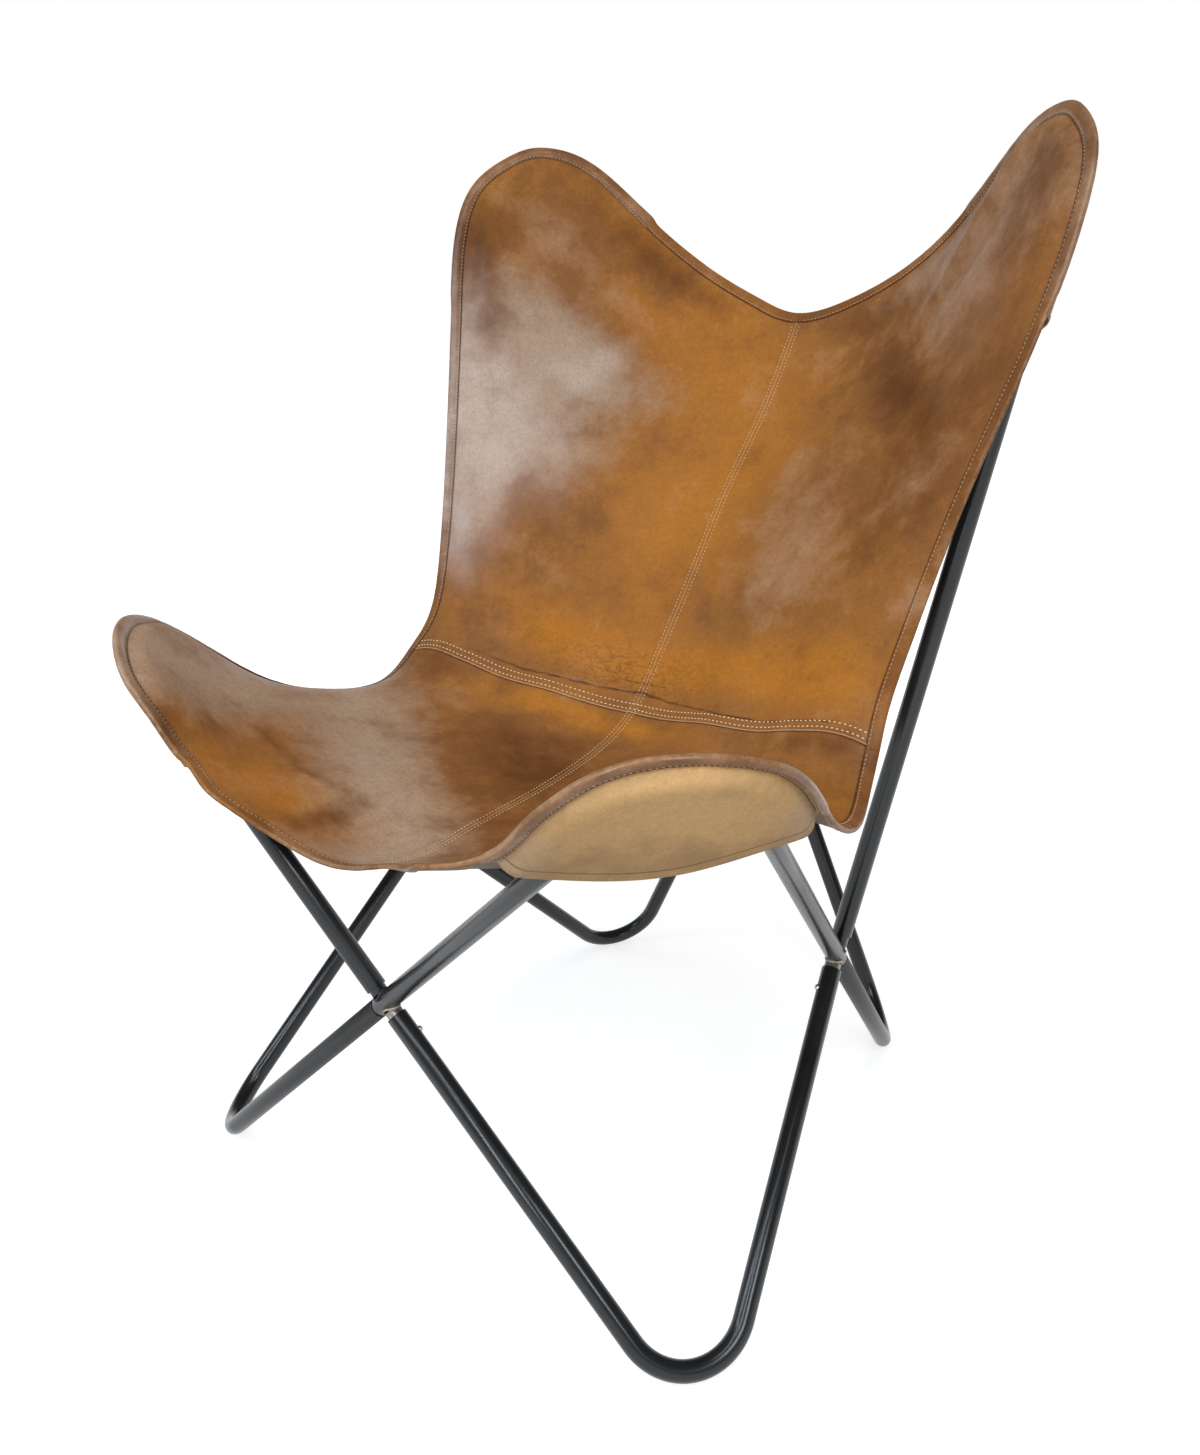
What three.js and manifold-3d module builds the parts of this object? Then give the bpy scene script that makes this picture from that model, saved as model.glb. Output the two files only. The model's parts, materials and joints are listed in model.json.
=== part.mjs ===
// Butterfly sling chair: four bent upper frames and four bent feet of steel tube, joined at four
// crossings by welded stubs with snap buttons, and a leather sling whose pockets slip over the frames.
// Millimetres, +Z up, the front of the chair at -Y, the floor at Z = 0.
import * as THREE from 'three';
import { mergeVertices } from 'three/addons/utils/BufferGeometryUtils.js';
import Module from 'manifold-3d';

const wasm = await Module();
wasm.setup();

// Tube stock and bends
const tubeOd = 19;
const tubeWall = 1.4;
const footBendR = 57;
const frontBendR = 47;
const backBendR = 64.5;

// Where the tubes cross, on their centre lines, measured from the side crossings
const frontCrossReach = 334;
const frontCrossHeight = 278;
const sideCrossHalfWidth = 271;
const sideCrossHeight = 263;
const backCrossReach = 324;
const backCrossHeight = 407;

// Corners where the straight legs of the upper frames would meet
const frontCornerHalfWidth = 341;
const frontCornerReach = 353;
const frontCornerHeight = 604;
const backCornerHeight = 1222;

// Crossing joints: stubs inside the tube ends
const stubPlay = 0.5;
const stubWall = 1.2;
const stubDepth = 50;
const weldGap = 0.3;
const weldShow = 2;
const rimShow = 5;
const neckShow = 3;
const spigotRoot = 26;

// Snap buttons and their spring clips
const buttonDia = 6;
const buttonPlay = 0.45;
const buttonFromRim = 22;
const buttonProud = 2.6;
const domeRise = 1.5;
const flangeOver = 1.2;
const flangeThick = 1;
const clipThick = 0.7;
const clipWidth = 5;
const clipLead = 6;
const clipReach = 20;
const clipPlay = 0.3;

// Leather sling
const leatherThick = 2.6;
const pocketThick = 2.2;
const seamGap = 0.3;
const hemFlange = 18;
const rimDropBehind = 3;
const backTipShift = 10;
const panelPlay = 0.8;
const lobeEase = 5;
const lobeReach = 420;
const pocketPlay = 0.6;
const hemGap = 0.7;
const pocketRamp = 13;
const pocketFlange = 2;

// Mesh fineness
const tubeSides = 14;
const bendStep = THREE.MathUtils.degToRad(17);
const holeSides = 10;

const tubeR = tubeOd / 2;
const boreR = tubeR - tubeWall;
const stubR = boreR * Math.cos(Math.PI / tubeSides) - stubPlay / 2;
const stubBoreR = stubR - stubWall;
const holeR = (buttonDia / 2 + buttonPlay) / Math.cos(Math.PI / holeSides);

const vec = (x, y, z) => new THREE.Vector3(x, y, z);
const mirror = (p) => vec(-p.x, p.y, p.z);
const heading = (from, to) => to.clone().sub(from).normalize();
const along = (from, direction, distance) => from.clone().addScaledVector(direction, distance);

// Centre-line bend of a tube: legs run from the corner to the points a and b
function bendAt(corner, a, b, radius) {
  const legA = heading(corner, a);
  const legB = heading(corner, b);
  const inward = legA.clone().add(legB).normalize();
  const outward = inward.clone().negate();
  const sideways = legB.clone().addScaledVector(inward, -legB.dot(inward)).normalize();
  const half = Math.acos(THREE.MathUtils.clamp(legA.dot(inward), -1, 1));
  const centre = along(corner, inward, radius / Math.sin(half));
  const planeNormal = sideways.clone().cross(outward);
  const sweep = Math.PI / 2 - half;
  return { corner, legA, legB, outward, sideways, planeNormal, centre, sweep, radius };
}

// Unit vector from the bend centre at an angle from the bend's tip
function spoke(bend, angle) {
  return bend.outward.clone().multiplyScalar(Math.cos(angle)).addScaledVector(bend.sideways, Math.sin(angle));
}

// How a bend stands on the floor: the angle of its lowest place, the roll that turns one facet of the
// tube straight down there, and the height of that facet
function footing(bend) {
  const low = Math.atan(bend.sideways.z / bend.outward.z);
  const steep = Math.hypot(bend.sideways.z, bend.outward.z) * Math.cos(bendStep / 2);
  const roll = Math.atan2(-bend.planeNormal.z, steep);
  const facetR = tubeR * Math.cos(Math.PI / tubeSides);
  const height = bend.centre.z - bend.radius * steep - facetR * Math.hypot(steep, bend.planeNormal.z);
  return { low, roll, height };
}

// Foot corner on the line that runs on through a crossing, set so that its bend stands on the floor
function footCorner(crossing, direction, otherCrossing) {
  let reach = crossing.z / -direction.z;
  for (let i = 0; i < 12; i++) {
    const bend = bendAt(along(crossing, direction, reach), crossing, otherCrossing, footBendR);
    reach += footing(bend).height / -direction.z;
  }
  return along(crossing, direction, reach);
}

// Frame points: in-line tubes stay straight through the crossings
const cross = {
  front: vec(0, -frontCrossReach, frontCrossHeight),
  right: vec(sideCrossHalfWidth, 0, sideCrossHeight),
  back: vec(0, backCrossReach, backCrossHeight),
};
cross.left = mirror(cross.right);
const corner = { frontRight: vec(frontCornerHalfWidth, -frontCornerReach, frontCornerHeight) };
corner.frontLeft = mirror(corner.frontRight);
corner.footFrontLeft = footCorner(cross.front, heading(corner.frontRight, cross.front), cross.left);
corner.footFrontRight = mirror(corner.footFrontLeft);
corner.footBackRight = footCorner(cross.right, heading(corner.frontRight, cross.right), cross.back);
corner.footBackLeft = mirror(corner.footBackRight);
const backRise = heading(corner.footBackRight, cross.back);
corner.backLeft = along(cross.back, backRise, (backCornerHeight - backCrossHeight) / backRise.z);
corner.backRight = mirror(corner.backLeft);

// Each crossing has one tube that runs through, a foot in line with it, and two stubs to the sides
const joints = {
  front: { through: 'frontRight', inline: 'footFrontLeft', upper: 'frontLeft', lower: 'footFrontRight' },
  right: { through: 'frontRight', inline: 'footBackRight', upper: 'backRight', lower: 'footFrontRight' },
  left: { through: 'frontLeft', inline: 'footBackLeft', upper: 'backLeft', lower: 'footFrontLeft' },
  back: { through: 'backLeft', inline: 'footBackRight', upper: 'backRight', lower: 'footBackLeft' },
};

// Distances from a crossing to the tube ends around it
for (const [place, joint] of Object.entries(joints)) {
  joint.at = cross[place];
  joint.axis = heading(corner[joint.through], joint.at);
  joint.rim = {};
  let weldEnd = 0;
  for (const end of ['upper', 'lower']) {
    const lean = heading(joint.at, corner[joint[end]]).dot(joint.axis);
    const slant = Math.sqrt(1 - lean * lean);
    joint.rim[end] = (tubeR + rimShow + tubeR * Math.abs(lean)) / slant;
    weldEnd = Math.max(weldEnd, ((tubeR + stubR * lean) / slant) * lean + stubR * slant);
  }
  joint.throughEnd = weldEnd + weldShow;
  joint.rim.inline = joint.throughEnd + neckShow;
}

// Where the tube that belongs to a corner ends at a crossing, measured from the crossing
function tubeEnd(cornerName, place) {
  const joint = joints[place];
  const away = heading(corner[cornerName], joint.at);
  if (joint.through === cornerName) return along(joint.at, away, joint.throughEnd);
  const end = ['inline', 'upper', 'lower'].find((key) => joint[key] === cornerName);
  return along(joint.at, away, -joint.rim[end]);
}

// Closed mesh with welded corners and no slivers
function weld(geometry) {
  const bare = new THREE.BufferGeometry();
  bare.setAttribute('position', geometry.getAttribute('position'));
  if (geometry.index) bare.setIndex(geometry.index);
  const merged = mergeVertices(bare, 1e-3);
  const kept = [];
  const old = merged.index.array;
  for (let i = 0; i < old.length; i += 3) {
    const [a, b, c] = [old[i], old[i + 1], old[i + 2]];
    if (a !== b && b !== c && c !== a) kept.push(a, b, c);
  }
  merged.setIndex(kept);
  return merged;
}

function toSolid(geometry) {
  const merged = weld(geometry);
  return new wasm.Manifold(new wasm.Mesh({
    numProp: 3,
    vertProperties: new Float32Array(merged.getAttribute('position').array),
    triVerts: new Uint32Array(merged.index.array),
  }));
}

function toGeometry(solid) {
  const mesh = solid.getMesh();
  const geometry = new THREE.BufferGeometry();
  geometry.setAttribute('position', new THREE.BufferAttribute(new Float32Array(mesh.vertProperties), 3));
  geometry.setIndex(Array.from(mesh.triVerts));
  return geometry;
}

function cutAway(geometry, tools) {
  let solid = toSolid(geometry);
  for (const tool of tools) solid = solid.subtract(toSolid(tool));
  return toGeometry(solid);
}

// Round section of a tube with a facet centred on the roll angle
function ring(radius, roll, bore) {
  const circle = (r) => Array.from({ length: tubeSides }, (_, i) => {
    const angle = roll + ((i + 0.5) * 2 * Math.PI) / tubeSides;
    return new THREE.Vector2(r * Math.cos(angle), r * Math.sin(angle));
  });
  const shape = new THREE.Shape(circle(radius));
  if (bore) shape.holes.push(new THREE.Path(circle(bore)));
  return shape;
}

// Path through given stations, with a fixed section frame at each
class StationPath extends THREE.Curve {
  constructor(stations) {
    super();
    this.stations = stations;
  }

  getUtoTmapping(u) {
    return u;
  }

  getPoint(t, target = new THREE.Vector3()) {
    return target.copy(this.stations[Math.round(t * (this.stations.length - 1))].at);
  }

  computeFrenetFrames() {
    return {
      tangents: this.stations.map((s) => s.normal.clone().cross(s.binormal)),
      normals: this.stations.map((s) => s.normal),
      binormals: this.stations.map((s) => s.binormal),
    };
  }
}

function sweepRing(stations, shape) {
  const path = new StationPath(stations);
  return new THREE.ExtrudeGeometry(shape, { steps: stations.length - 1, bevelEnabled: false, extrudePath: path });
}

// Even stops between two angles, each no longer than the bend step
function stops(from, to) {
  const count = Math.max(1, Math.ceil((to - from) / bendStep - 1e-6));
  return Array.from({ length: count + 1 }, (_, i) => from + ((to - from) * i) / count);
}

// Hollow bent tube between two end points; a foot gets a level facet at its lowest place
function bentTube(bend, endA, endB, standing) {
  const foot = footing(bend);
  let angles = stops(-bend.sweep, bend.sweep);
  if (standing) {
    angles = stops(-bend.sweep, foot.low - bendStep / 2).concat(stops(foot.low + bendStep / 2, bend.sweep));
  }
  const binormal = bend.planeNormal;
  const arc = angles.map((angle) => {
    const normal = spoke(bend, angle);
    return { at: along(bend.centre, normal, bend.radius), normal, binormal };
  });
  const first = { ...arc[0], at: endA };
  const last = { ...arc[arc.length - 1], at: endB };
  const shape = ring(tubeR, standing ? foot.roll : 0, boreR);
  return sweepRing([first, ...arc, last], shape);
}

// Straight hollow or solid round bar between two points
function straightTube(from, to, radius, bore) {
  const axis = heading(from, to);
  const normal = axis.clone().cross(Math.abs(axis.z) < 0.9 ? vec(0, 0, 1) : vec(1, 0, 0)).normalize();
  const binormal = axis.clone().cross(normal);
  return sweepRing([{ at: from, normal, binormal }, { at: to, normal, binormal }], ring(radius, 0, bore));
}

// Materials seen in the photo
const finishes = {
  blackCoat: { color: 0x161719, roughness: 0.36, metalness: 0.25 },
  bareSteel: { color: 0xb8b0a4, roughness: 0.34, metalness: 0.9 },
  springSteel: { color: 0x6f7276, roughness: 0.4, metalness: 0.85 },
  saddleLeather: { color: 0x7b4a1f, roughness: 0.42, metalness: 0 },
  pocketLeather: { color: 0x9c7748, roughness: 0.66, metalness: 0 },
};
const chair = new THREE.Group();
chair.name = 'butterfly_sling_chair';

function addPart(name, geometry, finish) {
  const solid = weld(geometry);
  solid.computeVertexNormals();
  const mesh = new THREE.Mesh(solid, new THREE.MeshStandardMaterial({ name: finish, ...finishes[finish] }));
  mesh.name = name;
  chair.add(mesh);
}

// Button places: on each foot leg, on the side that faces the foot's other leg
const feet = {
  front_right_foot: { corner: 'footFrontRight', legs: ['front', 'right'] },
  front_left_foot: { corner: 'footFrontLeft', legs: ['front', 'left'] },
  back_left_foot: { corner: 'footBackLeft', legs: ['back', 'left'] },
  back_right_foot: { corner: 'footBackRight', legs: ['back', 'right'] },
};
const legWord = { front: 'front', back: 'back', left: 'side', right: 'side' };
const buttons = [];
for (const [footName, foot] of Object.entries(feet)) {
  foot.bend = bendAt(corner[foot.corner], cross[foot.legs[0]], cross[foot.legs[1]], footBendR);
  foot.legs.forEach((place, i) => {
    const down = (i === 0 ? foot.bend.legA : foot.bend.legB).clone().negate();
    const across = i === 0 ? foot.bend.legB : foot.bend.legA;
    const out = across.clone().addScaledVector(down, -across.dot(down)).normalize();
    const rim = tubeEnd(foot.corner, place);
    const at = along(rim, down, buttonFromRim);
    buttons.push({ name: `${footName}_${legWord[place]}_button`, footName, place, corner: foot.corner, at, down, out });
  });
}

// Cutter for a button's hole through one side of a leg and of the stub inside it
function holeCutter(button) {
  const cylinder = new THREE.CylinderGeometry(holeR, holeR, tubeOd, holeSides);
  cylinder.translate(0, tubeOd / 2, 0);
  const side = button.down.clone().cross(button.out);
  cylinder.applyMatrix4(new THREE.Matrix4().makeBasis(button.down, button.out, side).setPosition(button.at));
  return cylinder;
}

// Upper frames
const upperFrames = {
  front_right_upper_frame: { corner: 'frontRight', ends: ['front', 'right'], radius: frontBendR },
  front_left_upper_frame: { corner: 'frontLeft', ends: ['front', 'left'], radius: frontBendR },
  back_left_upper_frame: { corner: 'backLeft', ends: ['back', 'left'], radius: backBendR },
  back_right_upper_frame: { corner: 'backRight', ends: ['back', 'right'], radius: backBendR },
};
for (const [name, frame] of Object.entries(upperFrames)) {
  const [a, b] = frame.ends;
  frame.bend = bendAt(corner[frame.corner], cross[a], cross[b], frame.radius);
  addPart(name, bentTube(frame.bend, tubeEnd(frame.corner, a), tubeEnd(frame.corner, b), false), 'blackCoat');
}

// Feet
for (const [name, foot] of Object.entries(feet)) {
  const [a, b] = foot.legs;
  const tube = bentTube(foot.bend, tubeEnd(foot.corner, a), tubeEnd(foot.corner, b), true);
  const holes = buttons.filter((button) => button.footName === name).map(holeCutter);
  addPart(name, cutAway(tube, holes), 'blackCoat');
}

// Stubs welded to the through tube, and spigots in its end
for (const [place, joint] of Object.entries(joints)) {
  const saddle = straightTube(along(joint.at, joint.axis, -4 * tubeOd), along(joint.at, joint.axis, 4 * tubeOd),
    (tubeR + weldGap) / Math.cos(Math.PI / tubeSides), 0);
  for (const end of ['upper', 'lower', 'inline']) {
    const away = heading(joint.at, corner[joint[end]]);
    const tip = along(joint.at, away, joint.rim[end] + stubDepth);
    const root = end === 'inline' ? along(joint.at, away, joint.throughEnd - spigotRoot) : joint.at;
    const cutters = buttons.filter((button) => button.place === place && button.corner === joint[end]);
    const tools = cutters.map(holeCutter);
    if (end !== 'inline') tools.push(saddle);
    const tube = straightTube(root, tip, stubR, stubBoreR);
    const word = end === 'inline' ? 'spigot' : `${end}_stub`;
    addPart(`${place}_crossing_${word}`, cutAway(tube, tools), end === 'upper' ? 'blackCoat' : 'bareSteel');
  }
}

// Snap buttons with a flange inside the stub, and V-shaped spring clips behind them
const buttonR = buttonDia / 2;
const flangeR = buttonR + flangeOver;
const stubInnerR = stubBoreR * Math.cos(Math.PI / tubeSides);
const flangeTop = Math.sqrt(stubInnerR ** 2 - flangeR ** 2) - clipPlay;
const flangeFoot = flangeTop - flangeThick;
const domeTop = tubeR + buttonProud;
const leafTop = flangeFoot - clipPlay;
const leafLow = -Math.sqrt(stubInnerR ** 2 - (clipWidth / 2) ** 2) + clipPlay;

function buttonGeometry() {
  const outline = [
    new THREE.Vector2(0, flangeFoot),
    new THREE.Vector2(flangeR, flangeFoot),
    new THREE.Vector2(flangeR, flangeTop),
    new THREE.Vector2(buttonR, flangeTop),
    new THREE.Vector2(buttonR, domeTop - domeRise),
    new THREE.Vector2(buttonR * 0.8, domeTop - domeRise * 0.4),
    new THREE.Vector2(buttonR * 0.4, domeTop - domeRise * 0.08),
    new THREE.Vector2(0, domeTop),
  ];
  return new THREE.LatheGeometry(outline, holeSides);
}

// V clip seen from the side: a leaf under the button, a bend deeper in the tube, a leaf on the far wall
function clipGeometry() {
  const middle = (leafTop + leafLow) / 2;
  const tipGap = clipThick * 0.9;
  const shape = new THREE.Shape();
  shape.moveTo(-clipLead, leafTop);
  shape.lineTo(clipLead, leafTop);
  shape.lineTo(clipReach, middle + tipGap + clipThick);
  shape.absarc(clipReach, middle, tipGap + clipThick, Math.PI / 2, -Math.PI / 2, true);
  shape.lineTo(-clipLead, leafLow);
  shape.lineTo(-clipLead, leafLow + clipThick);
  shape.lineTo(clipReach, middle - tipGap);
  shape.absarc(clipReach, middle, tipGap, -Math.PI / 2, Math.PI / 2, false);
  shape.lineTo(clipLead, leafTop - clipThick);
  shape.lineTo(-clipLead, leafTop - clipThick);
  shape.closePath();
  const clip = new THREE.ExtrudeGeometry(shape, { depth: clipWidth, bevelEnabled: false, curveSegments: 3 });
  return clip.translate(0, 0, -clipWidth / 2);
}

for (const button of buttons) {
  const side = button.down.clone().cross(button.out);
  const place = new THREE.Matrix4().makeBasis(button.down, button.out, side).setPosition(button.at);
  addPart(button.name, buttonGeometry().applyMatrix4(place), 'bareSteel');
  addPart(button.name.replace('button', 'spring_clip'), clipGeometry().applyMatrix4(place), 'springSteel');
}

// Natural cubic spline through values at rising knots
function spline(knots, values) {
  const last = knots.length - 1;
  const bend = new Array(last + 1).fill(0);
  const sweep = new Array(last + 1).fill(0);
  for (let i = 1; i < last; i++) {
    const span = knots[i + 1] - knots[i - 1];
    const share = (knots[i] - knots[i - 1]) / span;
    const pivot = share * bend[i - 1] + 2;
    const before = (values[i] - values[i - 1]) / (knots[i] - knots[i - 1]);
    const after = (values[i + 1] - values[i]) / (knots[i + 1] - knots[i]);
    bend[i] = (share - 1) / pivot;
    sweep[i] = ((6 * (after - before)) / span - share * sweep[i - 1]) / pivot;
  }
  for (let i = last - 1; i >= 0; i--) bend[i] = bend[i] * bend[i + 1] + sweep[i];
  return (t) => {
    let i = 0;
    while (i < last - 1 && t > knots[i + 1]) i += 1;
    const span = knots[i + 1] - knots[i];
    const b = (t - knots[i]) / span;
    const a = 1 - b;
    const ease = ((a ** 3 - a) * bend[i] + (b ** 3 - b) * bend[i + 1]) * (span ** 2 / 6);
    return a * values[i] + b * values[i + 1] + ease;
  };
}

// Smooth curve from 0 to 1 through points, with the pinned row at its given place
function curveThrough(points, { row, at }) {
  const run = [0];
  for (let i = 1; i < points.length; i++) run.push(run[i - 1] + points[i].distanceTo(points[i - 1]));
  const total = run[run.length - 1];
  const pin = run[row];
  const knots = run.map((r) => (r <= pin ? (r / pin) * at : at + ((r - pin) / (total - pin)) * (1 - at)));
  const [fx, fy, fz] = ['x', 'y', 'z'].map((key) => spline(knots, points.map((p) => p[key])));
  return (t) => vec(fx(t), fy(t), fz(t));
}

// Tips of the leather lobes, set from the bends of the upper frames they cover
function lobeOf(frame) {
  const bend = frame.bend;
  const tube = along(bend.centre, bend.outward, bend.radius);
  const toSeat = vec(0, 0, frontCrossHeight).sub(tube).dot(bend.planeNormal);
  const seatward = bend.planeNormal.clone().multiplyScalar(Math.sign(toSeat));
  const rim = along(along(tube, bend.outward, tubeR + hemFlange), seatward, -rimDropBehind);
  return { tube, seatward, rim };
}
const frontLobe = lobeOf(upperFrames.front_right_upper_frame);
const backLobe = lobeOf(upperFrames.back_right_upper_frame);
backLobe.rim.addScaledVector(upperFrames.back_right_upper_frame.bend.sideways, backTipShift);

// Edges of the sling, right half. Each row: share of the way between the two ends, then how far the
// edge lies off the straight line between them (outward or rearward, and below it), in thousandths
// of the span between the ends
const sideRows = [
  [0, 0, 0],
  [0.07, 41, 59],
  [0.164, 45, 163],
  [0.262, 28, 283],
  [0.382, 6, 394],
  [0.506, -28, 466],
  [0.57, -41, 457],
  [0.592, -45, 450],
  [0.644, -40, 401],
  [0.682, -26, 338],
  [0.754, 8, 221],
  [0.827, 46, 112],
  [0.857, 57, 54],
  [0.909, 51, 1],
  [1, 0, 0],
];
const frontRows = [
  [0, -21, 491],
  [0.137, -49, 479],
  [0.26, -122, 415],
  [0.34, -174, 357],
  [0.427, -183, 330],
  [0.512, -165, 305],
  [0.591, -162, 259],
  [0.665, -168, 180],
  [0.741, -171, 110],
  [0.82, -140, 43],
  [0.915, -73, 3],
  [1, 0, 0],
];
const topRows = [
  [0, 286, 576],
  [0.174, 311, 530],
  [0.336, 311, 454],
  [0.483, 290, 363],
  [0.612, 250, 259],
  [0.719, 198, 149],
  [0.823, 131, 52],
  [0.9, 76, 12],
  [1, 0, 0],
];
// Middle line of the sling: share of the way from front to top, and sag
const profileRows = [
  [0, 0],
  [0.09, 64],
  [0.177, 106],
  [0.274, 151],
  [0.366, 192],
  [0.459, 226],
  [0.533, 236],
  [0.61, 206],
  [0.69, 165],
  [0.773, 118],
  [0.888, 71],
  [1, 0],
];
// Rows pinned to a place on the sling: the cross seam on the side and middle lines, and one row of each end
const seamAt = 0.43;
const sidePin = { row: 6, at: seamAt };
const profilePin = { row: 6, at: seamAt };
const frontPin = { row: 5, at: 0.512 };
const topPin = { row: 4, at: 0.62 };

const tipF = frontLobe.rim;
const tipB = backLobe.rim;
const sideUnit = tipF.distanceTo(tipB) / 1000;
const frontUnit = tipF.x / 1000;
const topUnit = tipB.x / 1000;
const sidePoints = sideRows.map(([share, out, sag]) => tipF.clone().lerp(tipB, share)
  .add(vec(out, 0, -sag).multiplyScalar(sideUnit)));
const frontPoints = frontRows.map(([share, back, sag]) => vec(tipF.x * share, tipF.y, tipF.z)
  .add(vec(0, back, -sag).multiplyScalar(frontUnit)));
const topPoints = topRows.map(([share, back, sag]) => vec(tipB.x * share, tipB.y, tipB.z)
  .add(vec(0, back, -sag).multiplyScalar(topUnit)));
const profileUnit = frontPoints[0].distanceTo(topPoints[0]) / 1000;
const profilePoints = profileRows.map(([share, sag]) => frontPoints[0].clone().lerp(topPoints[0], share)
  .add(vec(0, 0, -sag * profileUnit)));
const sideEdge = curveThrough(sidePoints, sidePin);
const profile = curveThrough(profilePoints, profilePin);
const frontEdge = curveThrough(frontPoints, frontPin);
const topEdge = curveThrough(topPoints, topPin);

// Cross line of the sling between the centre seam and the side edge: a shallow hanging curve
function acrossSling(centre, edge, u) {
  const w = u * u;
  return vec(centre.x + (edge.x - centre.x) * u, centre.y + (edge.y - centre.y) * w, centre.z + (edge.z - centre.z) * w);
}

// Sling before it meets the tubes: u runs from the centre seam to the side edge, v from front to top
function hangingPoint(u, v) {
  const point = acrossSling(profile(v), sideEdge(v), u);
  const frontGap = frontEdge(u).sub(acrossSling(profile(0), sideEdge(0), u));
  const topGap = topEdge(u).sub(acrossSling(profile(1), sideEdge(1), u));
  return point.addScaledVector(frontGap, (1 - v) ** 2).addScaledVector(topGap, v ** 2);
}

// Least distance from a point to the two edges of a lobe, each taken up to its middle
const edgeCount = 60;
const edgeSteps = Array.from({ length: edgeCount + 1 }, (_, i) => i / (2 * edgeCount));
frontLobe.edges = edgeSteps.flatMap((t) => [frontEdge(1 - t), sideEdge(t)]);
backLobe.edges = edgeSteps.flatMap((t) => [topEdge(1 - t), sideEdge(1 - t)]);
function rimDistance(at, lobe) {
  return lobe.edges.reduce((least, point) => Math.min(least, at.distanceTo(point)), Infinity);
}

// Share of a full swell at a distance from the rim, round like the side of a tube
function swellAt(distance) {
  const rise = THREE.MathUtils.clamp((distance - pocketFlange) / pocketRamp, 0, 1);
  return Math.sqrt(1 - (1 - rise) ** 2);
}

// Sling surface, raised over the tubes of the upper frames where it would cut into them
function slingPoint(u, v) {
  const at = hangingPoint(u, v);
  const need = tubeR + panelPlay + leatherThick / 2;
  const raised = at.clone();
  for (const lobe of [frontLobe, backLobe]) {
    const short = need - at.clone().sub(lobe.tube).dot(lobe.seatward);
    const lift = (short + Math.hypot(short, lobeEase)) / 2;
    const near = THREE.MathUtils.smoothstep(lobeReach - at.distanceTo(lobe.rim), 0, lobeReach / 2);
    raised.addScaledVector(lobe.seatward, lift * near * swellAt(rimDistance(at, lobe)));
  }
  return raised;
}

// Upper-side normal of a surface given by a function of u and v
function normalOf(surface, u, v) {
  const step = 1e-3;
  const alongU = surface(Math.min(1, u + step), v).sub(surface(Math.max(0, u - step), v));
  const alongV = surface(u, Math.min(1, v + step)).sub(surface(u, Math.max(0, v - step)));
  return alongU.cross(alongV).normalize();
}

// Closed shell of even thickness about a grid of middle points with normals
function shell(rows, thickness) {
  const across = rows[0].length;
  const positions = [];
  for (const side of [0.5, -0.5]) {
    for (const row of rows) {
      for (const { at, normal } of row) positions.push(...along(at, normal, side * thickness).toArray());
    }
  }
  const under = rows.length * across;
  const faces = [];
  const quad = (a, b, c, d) => faces.push(a, b, c, a, c, d);
  for (let j = 0; j < rows.length - 1; j++) {
    for (let i = 0; i < across - 1; i++) {
      const a = j * across + i;
      quad(a, a + 1, a + across + 1, a + across);
      quad(under + a, under + a + across, under + a + across + 1, under + a + 1);
    }
  }
  const rim = [];
  for (let i = 0; i < across; i++) rim.push(i);
  for (let j = 1; j < rows.length; j++) rim.push(j * across + across - 1);
  for (let i = across - 2; i >= 0; i--) rim.push((rows.length - 1) * across + i);
  for (let j = rows.length - 2; j > 0; j--) rim.push(j * across);
  rim.forEach((a, k) => {
    const b = rim[(k + 1) % rim.length];
    quad(a, under + a, under + b, b);
  });
  const geometry = new THREE.BufferGeometry();
  geometry.setAttribute('position', new THREE.BufferAttribute(new Float32Array(positions), 3));
  geometry.setIndex(faces);
  return geometry;
}

// Left-hand copy of a right-hand shape
function mirrored(geometry) {
  const copy = geometry.clone();
  const position = copy.getAttribute('position');
  for (let i = 0; i < position.count; i++) position.setX(i, -position.getX(i));
  const old = Array.from(copy.index.array);
  const turned = [];
  for (let i = 0; i < old.length; i += 3) turned.push(old[i], old[i + 2], old[i + 1]);
  copy.setIndex(turned);
  return copy;
}

// Seat and back panels, a little apart at the seams, with the mesh crowded towards the lobes
const panelColumns = 14;
const seatRows = 11;
const backRows = 14;
const crowding = 1.4;
function panel(fromV, toV, countV, crowdEnd) {
  const rows = [];
  for (let j = 0; j <= countV; j++) {
    const row = [];
    for (let i = 0; i <= panelColumns; i++) {
      const u = 1 - (1 - i / panelColumns) ** crowding;
      const share = crowdEnd ? 1 - (1 - j / countV) ** crowding : (j / countV) ** crowding;
      const v = fromV + (toV - fromV) * share;
      const at = slingPoint(u, v);
      const normal = normalOf(slingPoint, u, v);
      if (i === 0) {
        at.x = seamGap / 2;
        normal.setX(0).normalize();
      }
      row.push({ at, normal });
    }
    rows.push(row);
  }
  return shell(rows, leatherThick);
}
const seamHalf = seamGap / 2 / profilePoints.reduce((sum, p, i, all) => sum + (i ? p.distanceTo(all[i - 1]) : 0), 0);
const seatPanel = panel(0, seamAt - seamHalf, seatRows, false);
const backPanel = panel(seamAt + seamHalf, 1, backRows, true);
addPart('seat_panel_right', seatPanel, 'saddleLeather');
addPart('seat_panel_left', mirrored(seatPanel), 'saddleLeather');
addPart('back_panel_right', backPanel, 'saddleLeather');
addPart('back_panel_left', mirrored(backPanel), 'saddleLeather');

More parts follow.
